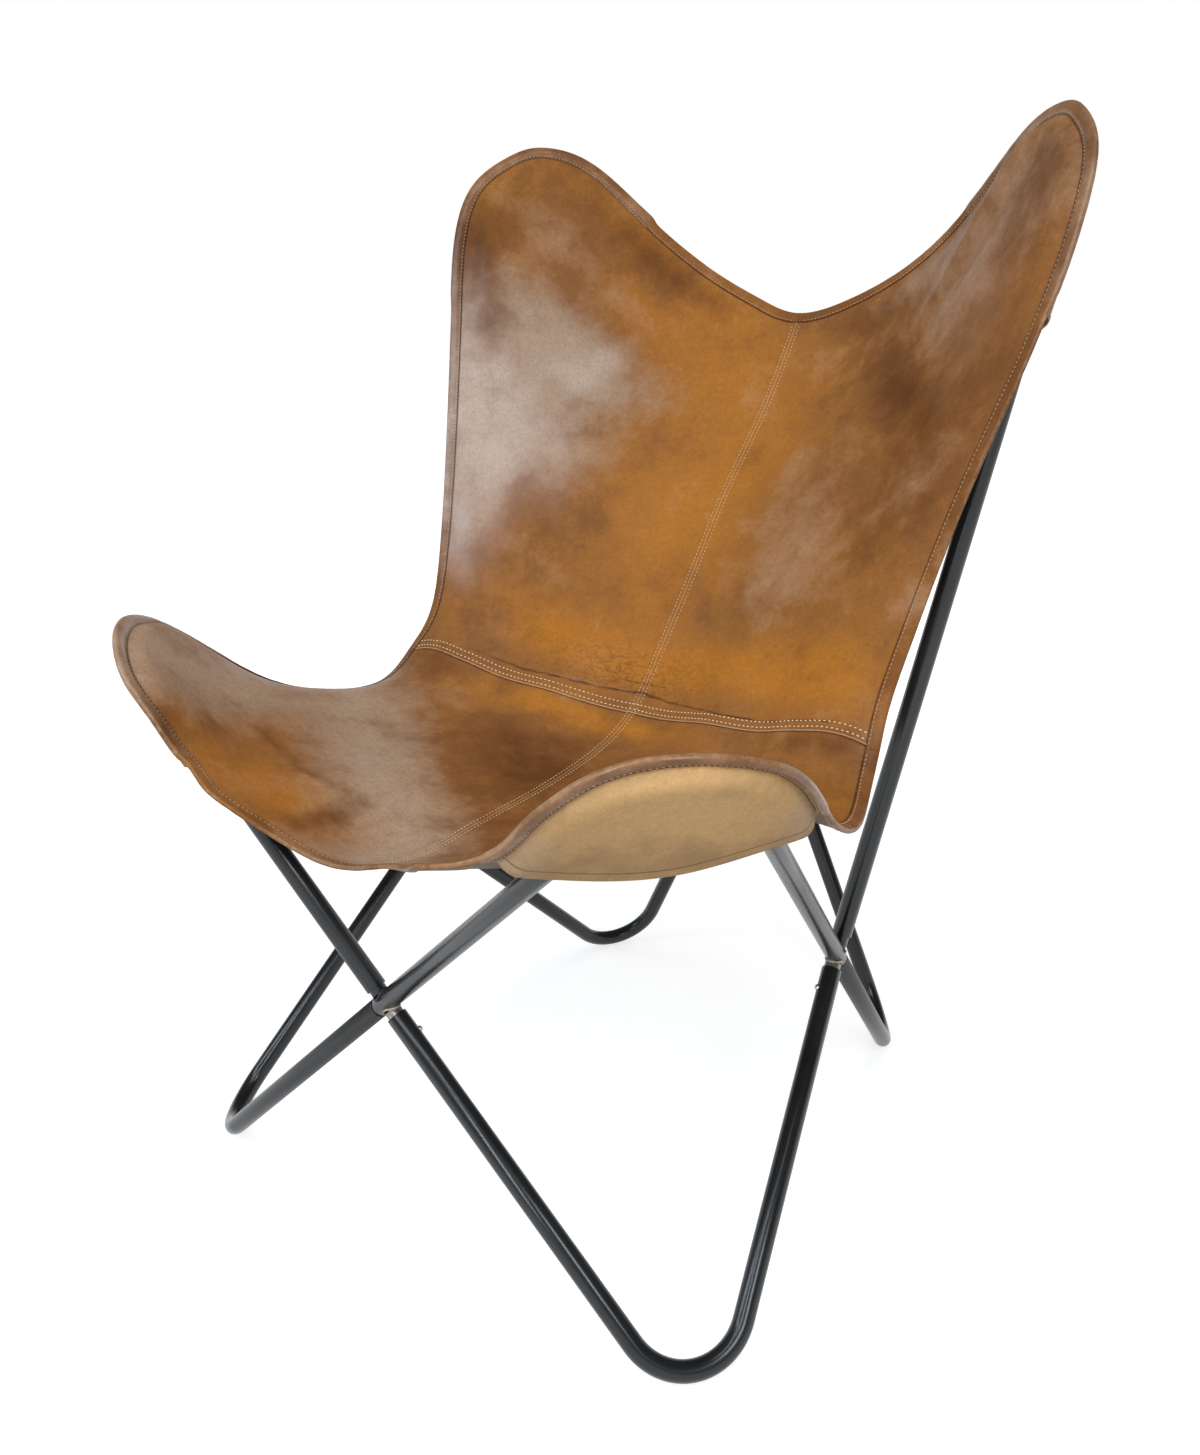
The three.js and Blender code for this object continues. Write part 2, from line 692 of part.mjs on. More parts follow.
// Point of a pocket: flat against the panel's rim, then swelling out to pass outside the tube
function pocketPoint(lobe, u, v) {
  const at = hangingPoint(u, v);
  const rimDrop = leatherThick / 2 + hemGap + pocketThick / 2;
  const floorDrop = tubeR + pocketPlay + pocketThick / 2;
  const depth = at.clone().sub(lobe.tube).dot(lobe.seatward) + floorDrop;
  const floor = along(at, lobe.seatward, -depth);
  return along(at, normalOf(hangingPoint, u, v), -rimDrop).lerp(floor, swellAt(rimDistance(at, lobe)));
}

// Pocket of a lobe. Rows run from the rim to the mouth, columns from one end of the mouth to the other;
// the mouth is a curve from the place edgeU on the end edge, bowed by two handles, to edgeV on the side edge
const pocketColumns = 16;
const pocketShares = [0, 0.03, 0.065, 0.11, 0.18, 0.35, 0.65, 1];
function pocket(lobe, atTop, { edgeU, edgeV, handles }) {
  const ends = [[edgeU, 0], ...handles, [1, edgeV]].map(([u, v]) => new THREE.Vector2(u, v));
  const mouth = new THREE.CubicBezierCurve(...ends);
  const rows = pocketShares.map((share) => Array.from({ length: pocketColumns + 1 }, (_, i) => {
    const t = i / pocketColumns;
    const rim = new THREE.Vector2(Math.min(1, edgeU + (1 - edgeU) * 2 * t), edgeV * Math.max(0, 2 * t - 1));
    const place = rim.lerp(mouth.getPoint(t), share);
    return { at: pocketPoint(lobe, place.x, atTop ? 1 - place.y : place.y) };
  }));
  if (!atTop) rows.forEach((row) => row.reverse());
  const last = pocketShares.length - 1;
  rows.forEach((row, j) => row.forEach((cell, i) => {
    const acrossRow = row[Math.min(pocketColumns, i + 1)].at.clone().sub(row[Math.max(0, i - 1)].at);
    const inward = rows[Math.min(last, j + 1)][i].at.clone().sub(rows[Math.max(0, j - 1)][i].at);
    const atMouthEnd = i === 0 || i === pocketColumns;
    cell.normal = atMouthEnd ? lobe.seatward.clone() : acrossRow.cross(inward).normalize();
  }));
  return shell(rows, pocketThick);
}
const frontMouth = { edgeU: 0.54, edgeV: 0.168, handles: [[0.53, 0.12], [0.72, 0.22]] };
const backMouth = { edgeU: 0.62, edgeV: 0.27, handles: [[0.6, 0.15], [0.77, 0.3]] };
const frontPocket = pocket(frontLobe, false, frontMouth);
const backPocket = pocket(backLobe, true, backMouth);
addPart('front_pocket_right', frontPocket, 'pocketLeather');
addPart('front_pocket_left', mirrored(frontPocket), 'pocketLeather');
addPart('back_pocket_right', backPocket, 'pocketLeather');
addPart('back_pocket_left', mirrored(backPocket), 'pocketLeather');

export default chair;
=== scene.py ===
"""Looks of a butterfly sling chair: powder-coated tubes with welded crossings and snap buttons, and a
sling of four leather panels with folded hems, pockets, stitching and pull-up mottles; some of the
mottles are painted sheen and painted shade."""
import json
import math

import bpy
import numpy as np
from mathutils import Matrix, Vector, kdtree, noise


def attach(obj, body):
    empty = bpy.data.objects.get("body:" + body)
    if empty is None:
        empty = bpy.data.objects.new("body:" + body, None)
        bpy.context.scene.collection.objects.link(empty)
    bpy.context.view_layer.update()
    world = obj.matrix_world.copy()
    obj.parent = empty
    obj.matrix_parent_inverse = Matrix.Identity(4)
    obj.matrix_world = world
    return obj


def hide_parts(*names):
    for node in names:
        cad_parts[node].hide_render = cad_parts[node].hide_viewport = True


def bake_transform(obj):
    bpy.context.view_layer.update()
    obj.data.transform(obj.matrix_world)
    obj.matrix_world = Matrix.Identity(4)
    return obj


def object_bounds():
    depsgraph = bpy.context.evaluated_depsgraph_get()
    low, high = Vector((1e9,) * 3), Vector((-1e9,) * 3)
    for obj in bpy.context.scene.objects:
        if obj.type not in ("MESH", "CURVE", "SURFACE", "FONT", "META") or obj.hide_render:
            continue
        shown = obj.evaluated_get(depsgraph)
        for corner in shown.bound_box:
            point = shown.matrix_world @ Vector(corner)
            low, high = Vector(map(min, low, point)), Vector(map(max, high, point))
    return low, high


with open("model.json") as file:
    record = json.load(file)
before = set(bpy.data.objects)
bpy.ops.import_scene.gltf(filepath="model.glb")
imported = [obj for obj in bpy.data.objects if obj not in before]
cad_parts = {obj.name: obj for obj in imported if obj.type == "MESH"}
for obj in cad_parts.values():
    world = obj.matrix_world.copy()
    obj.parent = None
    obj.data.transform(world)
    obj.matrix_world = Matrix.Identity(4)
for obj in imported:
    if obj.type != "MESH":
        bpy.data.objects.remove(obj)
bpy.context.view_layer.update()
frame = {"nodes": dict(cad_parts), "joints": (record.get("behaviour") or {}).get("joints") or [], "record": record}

CHAIR = "chair"
MM = 0.001
SIDES = (("right", 1), ("left", -1))

# Tubes, in millimetres, as in the part
TUBE_R = 9.5
TUBE_WALL = 1.4
FOOT_BEND_R = 57
FRONT_BEND_R = 47
BACK_BEND_R = 64.5
FRONT_CROSS_REACH = 334
FRONT_CROSS_HEIGHT = 278
SIDE_CROSS_HALF_WIDTH = 271
SIDE_CROSS_HEIGHT = 263
BACK_CROSS_REACH = 324
BACK_CROSS_HEIGHT = 407
FRONT_CORNER_HALF_WIDTH = 341
FRONT_CORNER_REACH = 353
FRONT_CORNER_HEIGHT = 604
BACK_CORNER_HEIGHT = 1222
CAD_TUBE_SIDES = 14
CAD_BEND_STEP = math.radians(17)
STUB_R = 7.7
STUB_WALL = 1.2
BUTTON_R = 3.0
BUTTON_HOLE_R = 3.45
BUTTON_DOME = 2.4
FLANGE_WIDE, FLANGE_THICK = 1.2, 1.0

# Leather, in millimetres
LEATHER = 2.6
POCKET_LEATHER = 1.8
HEM_WIDTH = 13.0
HEM_FOLD = 1.0
HEM_FLANGE = 18
RIM_DROP = 3
BACK_TIP_SHIFT = 10
PANEL_PLAY = 0.8
POCKET_PLAY = 0.6
LOBE_EASE = 9
LOBE_REACH = 420
SWELL_START = 12.5
SWELL_RUN = 18.0
SWELL_SPREAD = 0.3
SWELL_NEAR, SWELL_FAR = 60, 140
RIM_SHARE = 0.33
SEAM_AT = 0.43
SEAM_BOW = 0.0115
STITCH_PITCH = 4.4

# Edges and centre profile of the sling's right half as in the part: share of the way between two ends, then
# how far the line lies off the straight one (outward or rearward, and below it; for the profile only below
# it) in thousandths of the span
SIDE_ROWS = [
    (0, 0, 0), (0.07, 41, 59), (0.164, 45, 163), (0.262, 28, 283), (0.382, 6, 394),
    (0.506, -28, 466), (0.57, -41, 457), (0.592, -45, 450), (0.644, -40, 401), (0.682, -26, 338),
    (0.754, 8, 221), (0.827, 46, 112), (0.857, 57, 54), (0.909, 51, 1), (1, 0, 0),
]
FRONT_ROWS = [
    (0, -21, 491), (0.137, -49, 479), (0.26, -122, 415), (0.34, -174, 357), (0.427, -183, 330),
    (0.512, -165, 305), (0.591, -162, 259), (0.665, -168, 180), (0.741, -171, 110), (0.82, -140, 43),
    (0.915, -73, 3), (1, 0, 0),
]
TOP_ROWS = [
    (0, 286, 576), (0.174, 311, 530), (0.336, 311, 454), (0.483, 290, 363), (0.612, 250, 259),
    (0.719, 198, 149), (0.823, 131, 52), (0.9, 76, 12), (1, 0, 0),
]
PROFILE_ROWS = [
    (0, 0), (0.09, 64), (0.177, 106), (0.274, 151), (0.366, 192), (0.459, 226), (0.533, 236),
    (0.61, 206), (0.69, 165), (0.773, 118), (0.888, 71), (1, 0),
]
SEAM_ROW = 6


def vec(*xyz):
    return np.array(xyz, float)


def unit(v):
    return v / np.linalg.norm(v, axis=-1, keepdims=True)


def mirror(p):
    return p * vec(-1, 1, 1)


def smoothstep(x, low, high):
    t = np.clip((np.asarray(x, float) - low) / (high - low), 0, 1)
    return t * t * (3 - 2 * t)


def circle(at, across, up, radius, count):
    """Points at even steps round a circle, from across towards up"""
    turn = np.linspace(0, 2 * math.pi, count, endpoint=False)
    return at + radius * (np.outer(np.cos(turn), across) + np.outer(np.sin(turn), up))


def run_along(path):
    """Way gone along a path at each of its points"""
    return np.concatenate([[0], np.cumsum(np.linalg.norm(np.diff(path, axis=0), axis=1))])


def read_off(stops, run, rows):
    """Rows read off between their places on a run"""
    return np.stack([np.interp(stops, run, column) for column in rows.T], 1)


def averaged(rows, weights):
    """Rows smoothed by a moving mean with weights"""
    return np.stack([np.convolve(column, weights / weights.sum(), "valid") for column in rows.T], 1)


def across_of(v, along):
    """What is left of vectors when their share along unit vectors is taken off, at unit length"""
    return unit(v - (v * along).sum(1, keepdims=True) * along)


def tree_of(points):
    tree = kdtree.KDTree(len(points))
    for i, p in enumerate(points):
        tree.insert(p, i)
    tree.balance()
    return tree


# Mesh piece from points in millimetres
def new_piece(name, points, faces, materials, face_materials=None, attributes=None, smooth=True):
    mesh = bpy.data.meshes.new(name)
    mesh.from_pydata((np.asarray(points, float) * MM).tolist(), [], faces)
    for key, values in (attributes or {}).items():
        values = np.asarray(values, np.float32)
        kind = "FLOAT" if values.ndim == 1 else "FLOAT_COLOR"
        layer = mesh.attributes.new(key, kind, "POINT")
        layer.data.foreach_set("value" if kind == "FLOAT" else "color", values.ravel())
    for material in materials:
        mesh.materials.append(material)
    if face_materials is not None:
        mesh.polygons.foreach_set("material_index", np.asarray(face_materials, np.int32))
    mesh.polygons.foreach_set("use_smooth", [smooth] * len(mesh.polygons))
    mesh.validate()
    mesh.update()
    piece = bpy.data.objects.new(name, mesh)
    bpy.context.scene.collection.objects.link(piece)
    return piece


# Faces of a grid of rows and columns, closed round either way where asked
def grid_faces(rows, columns, wrap_rows=False, wrap_columns=False):
    faces = []
    for j in range(rows if wrap_rows else rows - 1):
        for i in range(columns if wrap_columns else columns - 1):
            k, n = (j + 1) % rows, (i + 1) % columns
            faces.append((j * columns + i, j * columns + n, k * columns + n, k * columns + i))
    return faces


# Frame geometry: bends, corners and crossings of the tubes
def bend_at(corner, a, b, radius):
    leg_a, leg_b = unit(a - corner), unit(b - corner)
    inward = unit(leg_a + leg_b)
    sideways = unit(leg_b - inward * (leg_b @ inward))
    half = math.acos(np.clip(leg_a @ inward, -1, 1))
    return {
        "corner": corner, "leg_a": leg_a, "leg_b": leg_b, "outward": -inward, "sideways": sideways,
        "normal": np.cross(sideways, -inward), "centre": corner + inward * radius / math.sin(half),
        "sweep": math.pi / 2 - half, "radius": radius,
    }


def foot_height(bend):
    steep = math.hypot(bend["sideways"][2], bend["outward"][2]) * math.cos(CAD_BEND_STEP / 2)
    facet = TUBE_R * math.cos(math.pi / CAD_TUBE_SIDES)
    return bend["centre"][2] - bend["radius"] * steep - facet * math.hypot(steep, bend["normal"][2])


def foot_corner(crossing, direction, other_crossing):
    reach = crossing[2] / -direction[2]
    for _ in range(12):
        bend = bend_at(crossing + direction * reach, crossing, other_crossing, FOOT_BEND_R)
        reach += foot_height(bend) / -direction[2]
    return crossing + direction * reach


cross = {
    "front": vec(0, -FRONT_CROSS_REACH, FRONT_CROSS_HEIGHT),
    "right": vec(SIDE_CROSS_HALF_WIDTH, 0, SIDE_CROSS_HEIGHT),
    "back": vec(0, BACK_CROSS_REACH, BACK_CROSS_HEIGHT),
}
cross["left"] = mirror(cross["right"])
corner = {"front_right": vec(FRONT_CORNER_HALF_WIDTH, -FRONT_CORNER_REACH, FRONT_CORNER_HEIGHT)}
corner["front_left"] = mirror(corner["front_right"])
corner["front_left_foot"] = foot_corner(
    cross["front"], unit(cross["front"] - corner["front_right"]), cross["left"])
corner["front_right_foot"] = mirror(corner["front_left_foot"])
corner["back_right_foot"] = foot_corner(
    cross["right"], unit(cross["right"] - corner["front_right"]), cross["back"])
corner["back_left_foot"] = mirror(corner["back_right_foot"])
back_rise = unit(cross["back"] - corner["back_right_foot"])
corner["back_left"] = cross["back"] + back_rise * (BACK_CORNER_HEIGHT - BACK_CROSS_HEIGHT) / back_rise[2]
corner["back_right"] = mirror(corner["back_left"])

# Each tube: its corner, the crossings its legs end at, and its bend
tubes = {}
for side in ("left", "right"):
    tubes[f"front_{side}_upper_frame"] = (f"front_{side}", ("front", side), FRONT_BEND_R)
    tubes[f"back_{side}_upper_frame"] = (f"back_{side}", ("back", side), BACK_BEND_R)
    tubes[f"front_{side}_foot"] = (f"front_{side}_foot", ("front", side), FOOT_BEND_R)
    tubes[f"back_{side}_foot"] = (f"back_{side}_foot", ("back", side), FOOT_BEND_R)
bends = {name: bend_at(corner[at], cross[ends[0]], cross[ends[1]], radius)
         for name, (at, ends, radius) in tubes.items()}


# Materials: a node tree with short ways to add to it
class Net:
    def __init__(self, tree):
        self.nodes, self.links = tree.nodes, tree.links
        self.link = tree.links.new

    def add(self, kind, **settings):
        node = self.nodes.new(kind)
        for key, value in settings.items():
            setattr(node, key, value)
        return node

    def noise(self, scale, detail=3.0, rough=0.55, stretch=None):
        texture = self.add("ShaderNodeTexNoise")
        set_values(texture, {"Scale": scale, "Detail": detail, "Roughness": rough})
        source = self.add("ShaderNodeTexCoord").outputs["Object"]
        if stretch:
            source = self.scaled(source, stretch)
        self.link(source, texture.inputs["Vector"])
        return texture.outputs["Fac"]

    def scaled(self, source, scale):
        mapping = self.add("ShaderNodeMapping")
        set_values(mapping, {"Scale": scale})
        self.link(source, mapping.inputs["Vector"])
        return mapping.outputs["Vector"]

    def remap(self, value, low, high, to_low, to_high):
        node = self.add("ShaderNodeMapRange", clamp=True)
        set_values(node, {"From Min": low, "From Max": high, "To Min": to_low, "To Max": to_high})
        self.link(value, node.inputs["Value"])
        return node.outputs["Result"]

    def math(self, operation, a, b):
        node = self.add("ShaderNodeMath", operation=operation)
        for socket, value in zip(node.inputs, (a, b)):
            if isinstance(value, (int, float)):
                socket.default_value = value
            else:
                self.link(value, socket)
        return node.outputs["Value"]

    def mix(self, factor, a, b):
        node = self.add("ShaderNodeMix", data_type="RGBA")
        self.link(factor, node.inputs["Factor"])
        for socket, value in zip((node.inputs[6], node.inputs[7]), (a, b)):
            if isinstance(value, tuple):
                socket.default_value = (*value, 1)
            else:
                self.link(value, socket)
        return node.outputs[2]

    def bump(self, height, strength, distance, before=None):
        node = self.add("ShaderNodeBump")
        set_values(node, {"Strength": strength, "Distance": distance})
        self.link(height, node.inputs["Height"])
        if before is not None:
            self.link(before, node.inputs["Normal"])
        return node.outputs["Normal"]

    def attribute(self, name):
        return self.add("ShaderNodeAttribute", attribute_name=name).outputs["Fac"]


def set_values(node, values):
    for key, value in values.items():
        node.inputs[key].default_value = value


def node_material(name):
    material = bpy.data.materials.new(name)
    material.use_nodes = True
    net = Net(material.node_tree)
    return material, net, net.nodes["Principled BSDF"]


def finish_material(net, shader, links, values):
    """Links outputs to a shader's sockets and sets its constant ones"""
    for key, output in links.items():
        net.link(output, shader.inputs[key])
    set_values(shader, values)


def coat_material():
    material, net, shader = node_material("black_powder_coat")
    speckle = net.noise(900, 2.0)
    cloud = net.noise(14, 4.0)
    colour = net.mix(net.remap(cloud, 0.35, 0.7, 0, 1), (0.009, 0.0095, 0.01), (0.017, 0.0175, 0.018))
    links = {"Base Color": colour, "Roughness": net.remap(cloud, 0.3, 0.7, 0.4, 0.55),
             "Normal": net.bump(speckle, 0.06, 0.0006)}
    values = {"Specular IOR Level": 0.05, "Coat Weight": 0.8, "Coat Roughness": 0.22}
    finish_material(net, shader, links, values)
    return material


def steel_material(name, light, dark, low_rough, high_rough):
    material, net, shader = node_material(name)
    tint = net.noise(160, 4.0)
    scrape = net.noise(700, 3.0, stretch=(1, 1, 0.15))
    links = {"Base Color": net.mix(net.remap(tint, 0.35, 0.65, 0, 1), light, dark),
             "Roughness": net.remap(scrape, 0.3, 0.7, low_rough, high_rough),
             "Normal": net.bump(scrape, 0.25, 0.0003)}
    finish_material(net, shader, links, {"Metallic": 0.9})
    return material


def crackle_lines(net):
    """Net of fine creases, longer across the sling than along it"""
    place = net.add("ShaderNodeTexCoord").outputs["Object"]
    wander = net.add("ShaderNodeTexNoise")
    set_values(wander, {"Scale": 55})
    net.link(place, wander.inputs["Vector"])
    spread = net.add("ShaderNodeVectorMath", operation="MULTIPLY_ADD")
    net.link(wander.outputs["Color"], spread.inputs[0])
    spread.inputs[1].default_value = (0.03, 0.03, 0.03)
    net.link(place, spread.inputs[2])
    cells = net.add("ShaderNodeTexVoronoi", feature="DISTANCE_TO_EDGE")
    set_values(cells, {"Scale": 115})
    net.link(net.scaled(spread.outputs["Vector"], (0.35, 1, 1)), cells.inputs["Vector"])
    return net.remap(cells.outputs["Distance"], 0.0, 0.09, 1, 0)


def leather_material(name, brown, orange, dark, grey, edge, rough, coat):
    """Waxed leather. The colour attribute mottle holds orange, dark and grey shares, and its alpha the polish;
    the grey share is wax bloom with painted sheen, and the dark share also carries painted shade along the
    crease and under the lapped seam. rim is the way from the sling's edge; it places the painted shade in the
    hem's groove and the lighter edge, part wear and part painted highlight. raw marks cut edges, and crackle
    marks fine creases, whose dark lines are painted shade"""
    material, net, shader = node_material(name)
    mottle = net.add("ShaderNodeAttribute", attribute_name="mottle")
    parts = net.add("ShaderNodeSeparateColor")
    net.link(mottle.outputs["Color"], parts.inputs["Color"])
    glow, dusk, bloom_and_sheen = (parts.outputs[key] for key in ("Red", "Green", "Blue"))
    cloud = net.noise(11, 5.0, 0.6)
    smoke = net.noise(34, 6.0, 0.65)
    fleck = net.noise(150, 4.0, 0.65)
    grain = net.noise(420, 3.0, 0.6)
    pores = net.noise(1100, 2.0, 0.6)
    drift = net.math("ADD", net.remap(cloud, 0.3, 0.7, -0.22, 0.22), net.remap(smoke, 0.3, 0.7, -0.17, 0.17))

    def share(layer, sign, low, high, most):
        moved = net.math("ADD" if sign > 0 else "SUBTRACT", layer, drift)
        return net.remap(moved, low, high, 0, most)

    colour = net.mix(share(glow, 1, -0.1, 0.9, 1), brown, orange)
    colour = net.mix(share(bloom_and_sheen, 1, 0.12, 1.0, 0.92), colour, grey)
    colour = net.mix(share(dusk, -1, 0.12, 1.0, 0.92), colour, dark)
    speck = net.math("ADD", net.remap(fleck, 0.35, 0.75, 0, 0.2), net.remap(grain, 0.4, 0.75, 0, 0.26))
    colour = net.mix(speck, colour, dark)
    crackle = net.math("MULTIPLY", crackle_lines(net), net.attribute("crackle"))
    # Painted shade: the fine creases are drawn darker
    colour = net.mix(net.math("MULTIPLY", crackle, 0.45), colour, dark)
    rim = net.attribute("rim")
    # Painted shade along the stitched groove at the hem's inner edge
    groove_shade = net.math("MULTIPLY", net.remap(rim, HEM_WIDTH - 1.2, HEM_WIDTH - 0.3, 0, 0.75),
                      net.remap(rim, HEM_WIDTH + 0.3, HEM_WIDTH + 1.6, 1, 0))
    colour = net.mix(groove_shade, colour, tuple(0.45 * c for c in dark))
    # Lighter edge at the very rim: partly wear, partly a painted highlight along the edge
    wear_and_highlight = net.math("MULTIPLY", net.remap(fleck, 0.45, 0.65, 0.1, 0.6), net.remap(rim, 0.15, 0.9, 1, 0))
    colour = net.mix(wear_and_highlight, colour, edge)
    colour = net.mix(net.math("MULTIPLY", net.attribute("raw"), 0.85), colour, edge)
    normal = net.bump(pores, 0.12, 0.0007)
    normal = net.bump(grain, 0.1, 0.0015, normal)
    normal = net.bump(smoke, 0.1, 0.006, normal)
    normal = net.bump(net.math("MULTIPLY", crackle, -1.0), 0.5, 0.0008, normal)
    polish = net.math("ADD", mottle.outputs["Alpha"], net.math("MULTIPLY", drift, 0.35))
    links = {"Base Color": colour, "Normal": normal, "Coat Weight": net.remap(polish, 0, 1, 0, coat),
             "Roughness": net.remap(fleck, 0.25, 0.75, rough - 0.05, rough + 0.07)}
    finish_material(net, shader, links, {"Specular IOR Level": 0.05, "Coat Roughness": 0.24})
    return material


def thread_material(name, dark, light):
    material, net, shader = node_material(name)
    twist = net.noise(2500, 2.0)
    links = {"Base Color": net.mix(twist, dark, light), "Normal": net.bump(twist, 0.4, 0.0004)}
    finish_material(net, shader, links, {"Roughness": 0.75})
    return material


def suede_material():
    material, net, shader = node_material("suede_underside")
    nap = net.noise(1400, 3.0)
    cloud = net.noise(12, 4.0)
    colour = net.mix(net.remap(cloud, 0.3, 0.7, 0, 1), (0.15, 0.088, 0.045), (0.21, 0.13, 0.07))
    links = {"Base Color": colour, "Normal": net.bump(nap, 0.35, 0.0012)}
    finish_material(net, shader, links, {"Roughness": 0.92, "Sheen Weight": 0.25})
    return material


coat = coat_material()
bare_steel = steel_material("welded_bare_steel", (0.42, 0.37, 0.31), (0.2, 0.16, 0.12), 0.3, 0.55)
button_steel = steel_material("button_steel", (0.62, 0.6, 0.57), (0.45, 0.43, 0.4), 0.2, 0.35)
spring_steel = steel_material("spring_steel", (0.3, 0.31, 0.33), (0.2, 0.2, 0.22), 0.35, 0.5)
RAW_EDGE = (0.56, 0.36, 0.2)
saddle = leather_material("pull_up_leather", brown=(0.25, 0.103, 0.032), orange=(0.43, 0.158, 0.021),
                          dark=(0.105, 0.036, 0.011), grey=(0.41, 0.285, 0.19), edge=RAW_EDGE,
                          rough=0.5, coat=1.0)
tan = leather_material("pocket_leather", brown=(0.56, 0.335, 0.15), orange=(0.78, 0.46, 0.195),
                       dark=(0.33, 0.195, 0.095), grey=(0.5, 0.36, 0.235), edge=RAW_EDGE,
                       rough=0.62, coat=0.05)
suede = suede_material()
seam_thread = thread_material("linen_thread", (0.62, 0.47, 0.29), (0.9, 0.76, 0.54))
centre_thread = thread_material("tan_thread", (0.4, 0.25, 0.11), (0.62, 0.43, 0.22))
hem_thread = thread_material("brown_thread", (0.26, 0.15, 0.07), (0.5, 0.34, 0.18))

# Tubes: one closed skin, outside and bore, with rounded ends
TUBE_SIDES = 40
STUB_SIDES = 32
ROUND_SIDES = 28
BEND_STEP = math.radians(4)
END_ROUND = 0.4
SHARP_ANGLE = math.radians(50)
OBLIQUE = vec(0.3, 0.5, 0.81)
HOLE_REACH = 14


def sweep_skin(stations, sides):
    rows = [circle(at, normal, binormal, radius, sides) for at, normal, binormal, radius in stations]
    return np.concatenate(rows), grid_faces(len(stations), sides, wrap_rows=True, wrap_columns=True)


def node_points(node):
    points = np.empty(len(frame["nodes"][node].data.vertices) * 3, np.float32)
    frame["nodes"][node].data.vertices.foreach_get("co", points)
    return points.reshape(-1, 3).astype(float) / MM


def leg_end(node, corner_at, away):
    points = node_points(node) - corner_at
    run = points @ away
    beside = np.linalg.norm(points - np.outer(run, away), axis=1)
    return corner_at + away * run[beside < 2 * TUBE_R].max()


def hollow(line, outer, bore):
    """Stations round a hollow bar: out along the outside and back along the bore"""
    (first, *frame_first), (last, *frame_last) = line[0], line[-1]
    inset_first = unit(line[1][0] - first) * END_ROUND
    inset_last = unit(line[-2][0] - last) * END_ROUND
    outside = [(first, *frame_first, outer - END_ROUND), (first + inset_first, *frame_first, outer)]
    outside += [(at, n, b, outer) for at, n, b in line[1:-1]]
    outside += [(last + inset_last, *frame_last, outer), (last, *frame_last, outer - END_ROUND)]
    inside = [(last, *frame_last, bore)] + [(at, n, b, bore) for at, n, b in line[-2:0:-1]]
    return outside + inside + [(first, *frame_first, bore)]


def bent_line(bend, end_a, end_b):
    count = math.ceil(2 * bend["sweep"] / BEND_STEP) + 1
    line = []
    for angle in np.linspace(-bend["sweep"], bend["sweep"], count):
        out = math.cos(angle) * bend["outward"] + math.sin(angle) * bend["sideways"]
        line.append((bend["centre"] + bend["radius"] * out, out, bend["normal"]))
    return [(end_a, *line[0][1:]), *line, (end_b, *line[-1][1:])]


def straight_line(from_at, to_at):
    axis = unit(to_at - from_at)
    normal = unit(np.cross(axis, vec(0, 0, 1)))
    binormal = np.cross(axis, normal)
    return [(from_at + (to_at - from_at) * t, normal, binormal) for t in (0, 0.5, 1)]


# Buttons: their place and outward direction come from the CAD nodes and joints
buttons = {}
for joint in frame["joints"]:
    node = frame["record"]["behaviour"]["bodies"][joint["child"]][0]
    points = node_points(node)
    outward = -unit(np.array(joint["axis"], float))
    run = (points - points.mean(0)) @ outward
    buttons[node] = {"body": joint["child"], "at": points.mean(0), "out": outward,
                     "low": run.min(), "high": run.max()}


def turned(at, out, outline):
    """Points and faces of a solid turned about out: outline holds radius and height of each ring"""
    side = unit(np.cross(out, OBLIQUE))
    across = np.cross(out, side)
    points = np.concatenate([circle(at + rise * out, side, across, radius, ROUND_SIDES)
                             for radius, rise in outline])
    faces = grid_faces(len(outline), ROUND_SIDES, wrap_columns=True)
    ends = [tuple(range(ROUND_SIDES - 1, -1, -1)), tuple(range(len(points) - ROUND_SIDES, len(points)))]
    return points, faces + ends


def cut_holes(piece, holes):
    """Cuts round holes through one wall of a tube; each hole is its middle and outward direction"""
    for at, out in holes:
        points, faces = turned(at, out, [(BUTTON_HOLE_R, reach) for reach in (0, HOLE_REACH)])
        cutter = new_piece("hole_cutter", points, faces, [], smooth=False)
        cut = piece.modifiers.new("hole", "BOOLEAN")
        cut.operation, cut.solver, cut.object = "DIFFERENCE", "EXACT", cutter
        bpy.context.view_layer.update()
        holed = bpy.data.meshes.new_from_object(piece.evaluated_get(bpy.context.evaluated_depsgraph_get()))
        piece.modifiers.clear()
        old, piece.data = piece.data, holed
        bpy.data.objects.remove(cutter)
        bpy.data.meshes.remove(old)


for name, bend in bends.items():
    end_a = leg_end(name, bend["corner"], bend["leg_a"])
    end_b = leg_end(name, bend["corner"], bend["leg_b"])
    stations = hollow(bent_line(bend, end_a, end_b), TUBE_R, TUBE_R - TUBE_WALL)
    points, faces = sweep_skin(stations, TUBE_SIDES)
    piece = new_piece(f"{name}_tube", points, faces, [coat])
    if name.endswith("foot"):
        cut_holes(piece, [(b["at"], b["out"]) for node, b in buttons.items() if node.startswith(name)])
    piece.data.set_sharp_from_angle(angle=SHARP_ANGLE)
    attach(piece, CHAIR)
    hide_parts(name)

# Snap buttons with round heads
for node, button in buttons.items():
    foot, top = button["low"], button["high"]
    outline = [(0.01, foot), (BUTTON_R + FLANGE_WIDE, foot), (BUTTON_R + FLANGE_WIDE, foot + FLANGE_THICK),
               (BUTTON_R, foot + FLANGE_THICK)]
    outline += [(max(BUTTON_R * math.cos(a), 0.01), top - BUTTON_DOME + BUTTON_DOME * math.sin(a))
                for a in np.linspace(0, math.pi / 2, 9)]
    points, faces = turned(button["at"], button["out"], outline)
    piece = new_piece(f"{node}_head", points, [face[::-1] for face in faces], [button_steel])
    piece.data.set_sharp_from_angle(angle=SHARP_ANGLE)
    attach(piece, button["body"])
    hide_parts(node)

